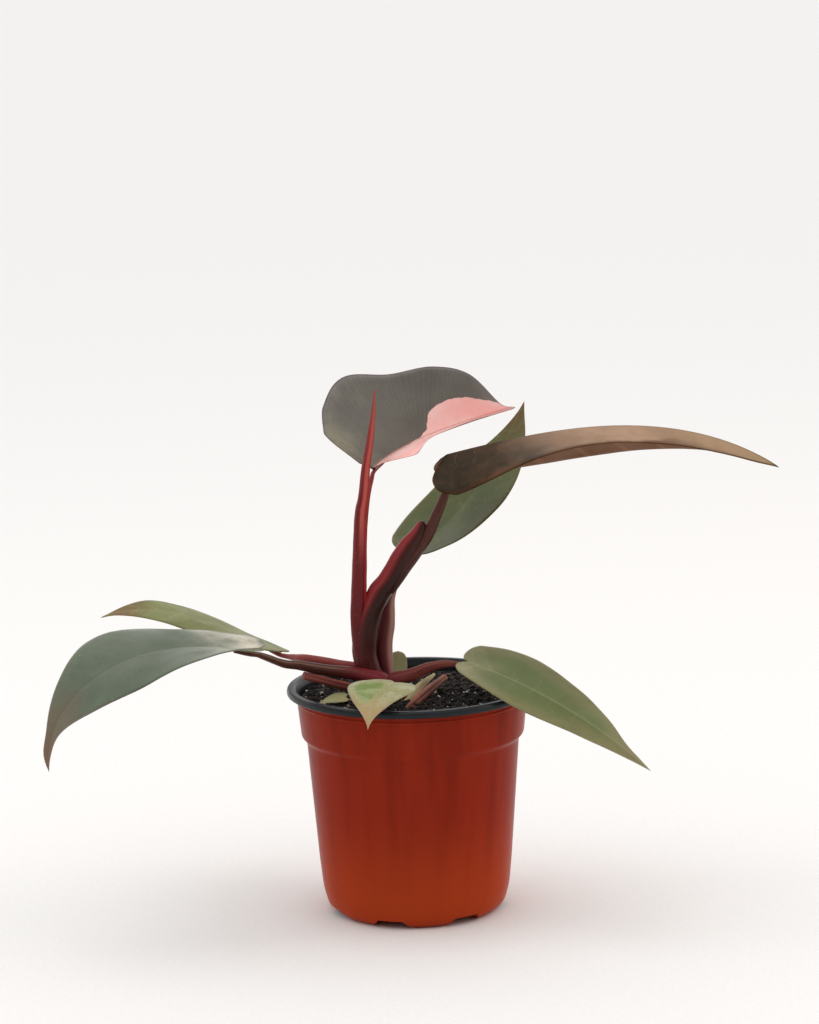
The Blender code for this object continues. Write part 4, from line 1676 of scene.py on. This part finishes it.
FRONT_SKIN = BladeSkin(
    name="cream_mottled_leaf",
    base="8E9268",
    middle="969466",
    tip="B09266",
    border="8E8C62",
    border_width=3.0,
    mottle="B4B494",
    mottle_size=6.0,
    mottle_share=0.7,
    vein="BCC0A0",
    vein_share=0.12,
    midrib="A2A47C",
    margin="B09A80",
    under="A8A084",
    roughness=0.48,
    coat=0.0,
    fleck="DCDCCC",
    fleck_size=3.0,
    fleck_reach=0.12,
    base_end=0.4,
    tip_start=0.6,
    patch="76884C",
    patch_mottle="96A070",
    patch_softness=1.0,
    midrib_share=0.3,
)
PALE_SKIN = BladeSkin(
    name="pale_leaf",
    base="969468",
    middle="9C986C",
    tip="B09A78",
    border="9C9870",
    border_width=2.0,
    mottle="98986C",
    mottle_size=4.0,
    mottle_share=0.6,
    vein="C4C09C",
    vein_share=0.15,
    midrib="A09C70",
    margin="A08C70",
    under="A8A07C",
    roughness=0.55,
    coat=0.0,
    fleck="CFCBB0",
    fleck_size=2.0,
)

# Corners of patches of another colour, as shares along and across the blade
PINK_PATCH = (
    (0.1, -1.3),
    (0.1, -0.02),
    (0.50, -0.01),
    (0.60, 0.03),
    (0.63, 0.10),
    (0.635, 0.30),
    (0.66, 0.40),
    (0.68, 0.45),
    (0.72, 0.50),
    (0.76, 0.54),
    (0.80, 0.57),
    (0.86, 0.59),
    (0.92, 0.73),
    (0.98, 1.0),
    (1.02, 1.3),
    (1.1, 1.3),
    (1.1, -1.3),
)
FRONT_PATCH = (
    (0.38, -0.15),
    (0.46, -0.68),
    (0.60, -0.80),
    (0.76, -0.55),
    (0.74, -0.20),
    (0.62, 0.0),
    (0.50, 0.02),
)

BLADES = (
    Blade("pink_leaf", "pink_blade", PINK_FORM, PINK_SKIN, patches=(PINK_PATCH,), ripple=0.4),
    Blade("copper_leaf", "copper_blade", COPPER_FORM, COPPER_SKIN, rows=140, vein_depth=0.05, ripple=0.3),
    Blade("rear_leaf", "green_blade", REAR_FORM, REAR_SKIN),
    Blade("left_leaf", "green_blade", LEFT_FORM, LEFT_SKIN),
    Blade("left_rear_leaf", "green_blade", LEFT_REAR_FORM, LEFT_REAR_SKIN),
    Blade("right_leaf", "green_blade", RIGHT_FORM, RIGHT_SKIN),
    Blade(
        "front_leaf",
        "pale_blade",
        FRONT_FORM,
        FRONT_SKIN,
        rows=84,
        columns=20,
        vein_depth=0.08,
        midrib_height=0.5,
        patches=(FRONT_PATCH,),
    ),
    Blade(
        "low_leaf",
        "pale_blade",
        LOW_FORM,
        PALE_SKIN,
        rows=40,
        columns=10,
        half_thickness=0.25,
        vein_depth=0.03,
        midrib_height=0.2,
        midrib_width=0.5,
        ripple=0.2,
    ),
    Blade(
        "small_rear_leaf",
        "pale_blade",
        SMALL_REAR_FORM,
        PALE_SKIN,
        rows=40,
        columns=10,
        half_thickness=0.25,
        vein_depth=0.03,
        midrib_height=0.2,
        midrib_width=0.5,
        ripple=0.2,
    ),
)

# The bands of these skins are painted highlights along the sides of the stalks that face the light
STEM_SKIN = StalkSkin(
    "young_stem",
    root="4A2A24",
    middle="5E322C",
    tip="7A343A",
    streak="3E2420",
    streak_share=0.5,
    fleck="8A5E50",
    highlight_bands=(HighlightBand("8A4248", 0, 90, 0.5),),
)
COPPER_STALK_SKIN = StalkSkin(
    "dark_red_leaf_base",
    root="561E20",
    middle="351A14",
    tip="42201A",
    streak="2A1612",
    streak_share=0.5,
    fleck="6A403A",
    highlight_bands=(HighlightBand("5E2020", -60, 64, 0.8), HighlightBand("943032", -66, 66, 0.85, 0.35)),
    roughness=0.34,
    coat=0.05,
)
PETIOLE_SKIN = StalkSkin(
    "maroon_stalk",
    root="40221E",
    middle="523028",
    tip="6C4638",
    streak="5A3230",
    streak_share=0.4,
    fleck="6A4640",
    highlight_bands=(HighlightBand("6A3432", -80, 50, 0.5),),
)
REAR_STALK_SKIN = StalkSkin(
    "brown_red_stalk",
    root="5E262C",
    middle="6A322E",
    tip="86543F",
    streak="441E22",
    streak_share=0.5,
    fleck="7E5850",
    highlight_bands=(HighlightBand("A07468", 62, 60, 0.8),),
)
PINK_STALK_SKIN = StalkSkin(
    "red_stalk",
    root="6E2428",
    middle="8A3638",
    tip="964440",
    streak="7A2C32",
    streak_share=0.4,
    fleck="A8605A",
    highlight_bands=(HighlightBand("A85048", 60, 60, 0.5),),
)
NEW_SKIN = StalkSkin(
    "brick_red_sheath",
    root="5E181C",
    middle="701E20",
    tip="A04440",
    streak="661F28",
    streak_share=0.45,
    fleck="A8685E",
    highlight_bands=(HighlightBand("C0584C", 18, 38, 0.9, 0.42), HighlightBand("B02A32", 66, 22, 0.8, 0.15, 0.75)),
    roughness=0.34,
    coat=0.05,
)
LEFT_STALK_SKIN = StalkSkin(
    "brown_side_stalk",
    # Red root and the red stripe at the root: partly the stalk's own colour, partly a painted highlight on
    # the lip of its base, which wraps the front of the crown
    root="7E2830",
    middle="42241A",
    tip="523022",
    streak="4A2624",
    streak_share=0.5,
    fleck="8A5E50",
    highlight_bands=(HighlightBand("9A7460", 48, 14, 0.5, 0.25), HighlightBand("A03E48", 10, 40, 0.5, 0.0, 0.2)),
)
LEFT_REAR_STALK_SKIN = StalkSkin(
    "bright_red_side_stalk",
    root="72222A",
    middle="7C2E2A",
    tip="6E3830",
    streak="6E2828",
    streak_share=0.5,
    fleck="A8645A",
    highlight_bands=(HighlightBand("8E423A", 60, 60, 0.5),),
)
RIGHT_STALK_SKIN = StalkSkin(
    "brown_red_side_stalk",
    root="7A2E36",
    middle="7C3C34",
    tip="5A342C",
    streak="4E2624",
    streak_share=0.55,
    fleck="9A5A50",
    highlight_bands=(HighlightBand("A85A50", 40, 60, 0.5, 0.0, 0.7),),
)
FRONT_STALK_SKIN = StalkSkin(
    "pale_brown_stalk",
    root="7A4A3C",
    middle="8F6A50",
    tip="A08A64",
    streak="6E4436",
    streak_share=0.4,
    fleck="B09A78",
    highlight_bands=(HighlightBand("A8825E", 80, 60, 0.4),),
)
CUT_SKIN = StalkSkin(
    "old_cut_stalk",
    root="5E2A28",
    middle="743832",
    tip="8A4A40",
    streak="4A2424",
    streak_share=0.6,
    fleck="9A6A60",
    highlight_bands=(HighlightBand("9A5248", 90, 50, 0.5),),
    roughness=0.5,
    coat=0.0,
)
DRY_SKIN = StalkSkin(
    "withered_tissue",
    root="7E4A3E",
    middle="8E5A4C",
    tip="9E6C5A",
    streak="64382E",
    streak_share=0.6,
    fleck="B08A7A",
    highlight_bands=(HighlightBand("A86E5E", -90, 50, 0.5),),
    roughness=0.6,
    coat=0.0,
)
HUSK_SKIN = StalkSkin(
    "dried_husk",
    root="A08A5C",
    middle="C2B48C",
    tip="D2C8A4",
    streak="9A8254",
    streak_share=0.5,
    fleck="8A6A4A",
    highlight_bands=(HighlightBand("D8CDA8", 60, 60, 0.5),),
    roughness=0.65,
    coat=0.0,
)

STALKS = (
    StalkPiece(
        "stem_base",
        "stem",
        "stem",
        (STEM_SKIN,),
        (
            Stalk(
                (
                    (-10, 2, 84, 5.0),
                    (-12, 2, 97, 6.2),
                    (-15, 2, 106, 6.6),
                    (-17, 2, 109.5, 4.8),
                ),
                knobbly=0.2,
            ),
        ),
    ),
    StalkPiece(
        "copper_leaf_base_and_stalk",
        "red_stalk",
        "copper_leaf_stalk",
        (COPPER_STALK_SKIN, PETIOLE_SKIN),
        (
            Stalk(
                (
                    (-17.5, 1, 108, 5.0),
                    (-20.5, 0.5, 116, 5.6),
                    (-21.5, 0.5, 124, 5.7),
                    (-19.5, 0, 137.5, 5.4),
                    (-14, 0, 149.5, 5.3),
                    (-9, 0, 156, 5.1),
                    (-1.5, 0, 169, 4.6),
                    (4, 0, 176.5, 3.4),
                    (6.2, 0, 180.8, 2.2),
                ),
                ridges=(Ridge(-48, 14, -0.06, 0.1, 0.95), Ridge(30, 20, 0.05, 0.2, 0.9)),
            ),
            Stalk(
                (
                    (-9.5, -0.5, 151.5, 3.4),
                    (-3, 0, 160.5, 3.6),
                    (4, 0.5, 169.5, 3.3),
                    (9.5, 1, 177, 2.9),
                    (13.5, 1, 185.5, 2.4),
                    (17, 1, 193.5, 2.0),
                    (19, 1, 200, 1.6),
                    (19.6, -0.9, 211.0, 1.4),
                    (26.2, -0.8, 213.3, 0.8),
                ),
                ridges=(Ridge(-60, 25, 0.08, 0.3, 0.9),),
            ),
        ),
    ),
    StalkPiece(
        "rear_stalk",
        "red_stalk",
        "rear_leaf_stalk",
        (REAR_STALK_SKIN,),
        (
            Stalk(
                (
                    (-10.5, 4, 107.5, 2.8),
                    (-11.8, 6, 114, 3.6),
                    (-12.4, 8, 123, 4.0),
                    (-11, 10, 134.5, 4.1),
                    (-9.7, 12.5, 145, 3.1),
                    (-4.5, 17, 155, 1.8),
                    (1.5, 20.8, 161.5, 1.3),
                    (6.4, 22.3, 164.4, 1.1),
                    (11.5, 25.0, 168.5, 0.7),
                ),
                ridges=(Ridge(50, 12, -0.08, 0.1, 0.6),),
            ),
        ),
    ),
    StalkPiece(
        "pink_stalk",
        "red_stalk",
        "pink_leaf_stalk",
        (PINK_STALK_SKIN,),
        (
            Stalk(
                (
                    (-16.5, 6, 111.5, 1.8),
                    (-20.5, 8.8, 118, 2.1),
                    (-22.2, 9, 128, 2.1),
                    (-22, 8.5, 150, 2.0),
                    (-20.8, 8, 173.5, 1.8),
                    (-18.6, 8, 192.5, 1.5),
                    (-16.2, 8.6, 201.5, 1.1),
                    (-14.9, 9.7, 205.0, 0.9),
                    (-10.6, 14.4, 208.1, 0.6),
                ),
            ),
        ),
    ),
    StalkPiece(
        "new_leaf_sheath_and_spike",
        "new_leaf",
        "new_leaf_sheath",
        (NEW_SKIN,),
        (
            Stalk(
                (
                    (-20.5, 0, 113, 2.6),
                    (-22.6, -0.5, 118, 3.3),
                    (-23.6, -1, 125.5, 3.4),
                    (-24, -1, 135, 3.5),
                    (-23.6, -1, 146.5, 3.6),
                    (-22.5, -1.5, 166, 3.3),
                    (-21.5, -2, 186.5, 2.9),
                    (-20, -2, 195, 2.5),
                    (-18.5, -1.5, 208.5, 2.0),
                    (-16.5, -1, 219.5, 1.7),
                    (-14.5, -0.5, 233, 1.0),
                    (-13.5, 0, 244, 0.3),
                ),
                end=End.POINTED,
                ridges=(
                    Ridge(-12, 10, -0.12, 0.15, 0.7),
                    Ridge(50, 10, -0.12, 0.1, 0.7),
                    Ridge(66, 9, 0.1, 0.1, 0.75),
                ),
            ),
        ),
    ),
    StalkPiece(
        "left_stalk",
        "red_stalk",
        "left_leaf_stalk",
        (LEFT_STALK_SKIN,),
        (
            Stalk(
                (
                    (-10.5, -3.5, 108.5, 2.0),
                    (-14, -4, 110, 3.0),
                    (-18.5, -4.5, 111, 3.4),
                    (-28, -6.5, 113.5, 3.0),
                    (-39.5, -12, 116.5, 2.6),
                    (-51, -19, 120.5, 2.2),
                    (-58, -23.5, 122.5, 1.9),
                    (-66, -31, 127.5, 1.6),
                    (-69.5, -34.5, 129.5, 1.3),
                    (-72.8, -36.3, 130.2, 1.1),
                    (-79.5, -37.9, 131.9, 0.7),
                ),
                ridges=(Ridge(40, 12, -0.12, 0.2, 0.95),),
            ),
        ),
    ),
    StalkPiece(
        "left_rear_stalk",
        "red_stalk",
        "left_rear_leaf_stalk",
        (LEFT_REAR_STALK_SKIN,),
        (
            Stalk(
                (
                    (-14.5, 4, 108, 2.4),
                    (-18.5, 5, 111, 2.6),
                    (-25.5, 7, 113, 2.5),
                    (-33.5, 9.5, 114, 2.4),
                    (-48.5, 17, 115.5, 2.1),
                    (-54.5, 24, 114.8, 1.6),
                    (-58.5, 28.5, 114.4, 1.2),
                    (-62.6, 31.3, 114.9, 1.0),
                    (-68.9, 32.8, 117.8, 0.6),
                ),
            ),
        ),
    ),
    StalkPiece(
        "right_stalk",
        "red_stalk",
        "right_leaf_stalk",
        (RIGHT_STALK_SKIN,),
        (
            Stalk(
                (
                    (-11.5, -1, 108, 3.0),
                    (-6.5, -4, 110, 3.3),
                    (0.5, -6, 112, 3.0),
                    (6.5, -9, 115.2, 2.4),
                    (13.5, -13, 118, 1.9),
                    (20, -17, 118.9, 1.4),
                    (25.5, -18.5, 118.2, 1.2),
                    (32.0, -20.6, 116.5, 0.7),
                ),
                ridges=(Ridge(-55, 16, -0.12, 0.1, 0.9),),
                knobbly=0.12,
            ),
        ),
    ),
    StalkPiece(
        "front_stalk",
        "red_stalk",
        "front_leaf_stalk",
        (FRONT_STALK_SKIN,),
        (
            Stalk(
                (
                    (-13, -2, 104.8, 1.5),
                    (-12.2, -12, 108, 1.4),
                    (-10.2, -24, 111.5, 1.2),
                    (-8.8, -34, 113.6, 1.0),
                    (-8.7, -38.1, 114.0, 0.8),
                    (-12.0, -44.0, 114.6, 0.5),
                ),
            ),
        ),
    ),
    StalkPiece(
        "low_stalk",
        "red_stalk",
        "low_leaf_stalk",
        (FRONT_STALK_SKIN,),
        (
            Stalk(
                (
                    (-27.5, -15.5, 98.5, 0.9),
                    (-27.6, -15.6, 101.3, 0.9),
                    (-28.6, -15.8, 102.6, 0.8),
                    (-30.6, -15.6, 102.9, 0.7),
                    (-33.7, -16.2, 103.0, 0.4),
                ),
            ),
        ),
    ),
    StalkPiece(
        "small_rear_stalk",
        "red_stalk",
        "small_rear_leaf_stalk",
        (FRONT_STALK_SKIN,),
        (
            Stalk(
                (
                    (-6.6, 33.6, 97.5, 0.9),
                    (-6.6, 33.4, 101, 0.9),
                    (-6.5, 33.4, 103, 0.8),
                    (-6.3, 36.3, 104.2, 0.7),
                    (-6.2, 36.7, 106.6, 0.4),
                ),
            ),
        ),
    ),
    StalkPiece(
        "cut_stalk_stub",
        "red_stalk",
        "cut_stalk",
        (CUT_SKIN,),
        (
            Stalk(
                (
                    (-14, 0, 104.6, 2.0),
                    (-20.5, -6.5, 105.4, 2.1),
                    (-28, -10.5, 107.5, 2.1),
                    (-40, -14.5, 112, 1.9),
                    (-49.5, -18, 115.5, 1.8),
                ),
                end=End.CUT,
                ridges=(Ridge(20, 20, -0.25, 0.05, 1.1),),
                knobbly=0.15,
            ),
        ),
    ),
    StalkPiece(
        "withered_stalk_stub",
        "dry_stalk",
        "withered_stalk",
        (DRY_SKIN,),
        (
            Stalk(
                (
                    (-3.5, -31.5, 99, 1.8),
                    (0.5, -26, 102.5, 2.2),
                    (7, -14, 105.6, 2.2),
                    (15.5, 1.5, 108.6, 1.6),
                ),
                end=End.CUT,
                ridges=(Ridge(-10, 14, -0.3, 0.0, 1.1), Ridge(-80, 14, -0.15, 0.0, 1.1)),
                knobbly=0.15,
            ),
        ),
    ),
    StalkPiece(
        "dried_husk",
        "dry_stalk",
        "dried_sheath",
        (HUSK_SKIN,),
        (
            Stalk(
                (
                    (-5.5, -24, 99.5, 1.4),
                    (-1, -19.5, 103.5, 2.0),
                    (4, -9, 107.0, 1.9),
                    (10.5, 3.5, 109.6, 0.7),
                ),
                end=End.POINTED,
                ridges=(Ridge(0, 30, -0.2, 0.0, 1.1), Ridge(-60, 15, 0.15, 0.0, 1.1)),
                knobbly=0.25,
            ),
        ),
    ),
)


@dataclass(frozen=True)
class Camera:
    """Camera at the photograph's viewing angle."""

    place: tuple[float, float, float] = (0.001, -1.5, 0.4517)
    lens: float = 116.4
    sensor: float = 36.0
    down: float = 10.0
    roll: float = -1.44

    def build(self) -> None:
        """Set it up as the scene's camera."""
        data = bpy.data.cameras.new("photo_camera")
        data.lens = self.lens
        data.sensor_width = self.sensor
        camera = bpy.data.objects.new("photo_camera", data)
        bpy.context.scene.collection.objects.link(camera)
        tilt = Matrix.Rotation(math.radians(90 - self.down), 4, "X")
        roll = Matrix.Rotation(math.radians(self.roll), 4, "Z")
        camera.matrix_world = Matrix.Translation(self.place) @ tilt @ roll
        bpy.context.scene.camera = camera


@dataclass(frozen=True)
class SoftBox:
    """A square light that points at the plant."""

    name: str
    place: tuple[float, float, float]
    size: float
    watts: float
    colour: str = "FFFFFF"

    AIM = (0, 0, 0.12)

    def build(self) -> None:
        """Hang the light."""
        data = bpy.data.lights.new(self.name, "AREA")
        data.shape = "SQUARE"
        data.size = self.size
        data.energy = self.watts
        data.color = linear(self.colour)[:3]
        light = bpy.data.objects.new(self.name, data)
        bpy.context.scene.collection.objects.link(light)
        aim = Vector(self.AIM) - Vector(self.place)
        turn = aim.to_track_quat("-Z", "Y").to_matrix().to_4x4()
        light.matrix_world = Matrix.Translation(self.place) @ turn


@dataclass(frozen=True)
class Studio:
    """Plain white floor under a soft sky, which is darker on the viewer's side."""

    floor_colour: str = "F4F3F2"
    floor_shade: str = "EFEEED"
    floor_radius: float = 30.0
    bright_sky: str = "FBFAF9"
    dark_sky: str = "484746"
    sky_strength: float = 1.12
    sky_tilt: float = 0.6
    lights: tuple[SoftBox, ...] = (
        SoftBox("overhead_softbox", (-0.3, 0.0, 1.6), 0.8, 2.5),
        SoftBox("left_softbox", (-1.5, -0.2, 0.8), 0.9, 1.5),
        SoftBox("right_softbox", (1.6, 0.0, 0.7), 0.9, 3.5, "FFE4CC"),
    )

    def sky(self) -> bpy.types.World:
        """Light from all round: bright above and behind the plant, and darker in front of it.

        Returns:
            The world.
        """
        world = bpy.data.worlds.new("soft_sky")
        world.use_nodes = True
        tree = world.node_tree
        tree.nodes.clear()
        towards = add_node(tree, "ShaderNodeTexCoord").outputs["Generated"]
        split = add_node(tree, "ShaderNodeSeparateXYZ", {0: towards})
        tilt = {0: split.outputs["Y"], 1: self.sky_tilt, 2: split.outputs["Z"]}
        measure = add_node(tree, "ShaderNodeMath", tilt, operation="MULTIPLY_ADD").outputs[0]
        colour = paint_over(tree, linear(self.dark_sky), linear(self.bright_sky), measure, -0.5, 0.4)
        light = add_node(tree, "ShaderNodeBackground", {"Color": colour, "Strength": self.sky_strength})
        add_node(tree, "ShaderNodeOutputWorld", {"Surface": light.outputs[0]})
        return world

    def floor_material(self) -> bpy.types.Material:
        """Matt white paper.

        Returns:
            The material.
        """
        made, tree = new_material("white_paper")
        where = add_node(tree, "ShaderNodeTexCoord").outputs["Object"]
        pulp = {"Vector": where, "Scale": 1 / (2.0 * MM)}
        fibres = add_node(tree, "ShaderNodeTexNoise", pulp).outputs[0]
        colour = paint_over(tree, linear(self.floor_colour), linear(self.floor_shade), fibres, 0.2, 0.8)
        finish_surface(tree, colour, fibres, 0.02, Roughness=0.9)
        return made

    def build(self) -> None:
        """Make the floor, the sky and the lights."""
        shape = bmesh.new()
        bmesh.ops.create_circle(shape, cap_ends=True, segments=96, radius=self.floor_radius)
        mesh = bpy.data.meshes.new("floor")
        shape.to_mesh(mesh)
        shape.free()
        mesh.materials.append(self.floor_material())
        floor = bpy.data.objects.new("floor", mesh)
        bpy.context.scene.collection.objects.link(floor)
        bpy.context.scene.world = self.sky()
        bpy.context.scene.view_settings.view_transform = "Standard"
        for box in self.lights:
            box.build()


def main() -> None:
    """Build the plant from the pot upwards."""
    logging.basicConfig(level=logging.INFO, format="%(message)s")
    Camera().build()
    Studio().build()
    NurseryPot().build()
    PottingMix().build()
    for blade in BLADES:
        blade.build()
    for stalk in STALKS:
        stalk.build()


if __name__ == "__main__":
    main()
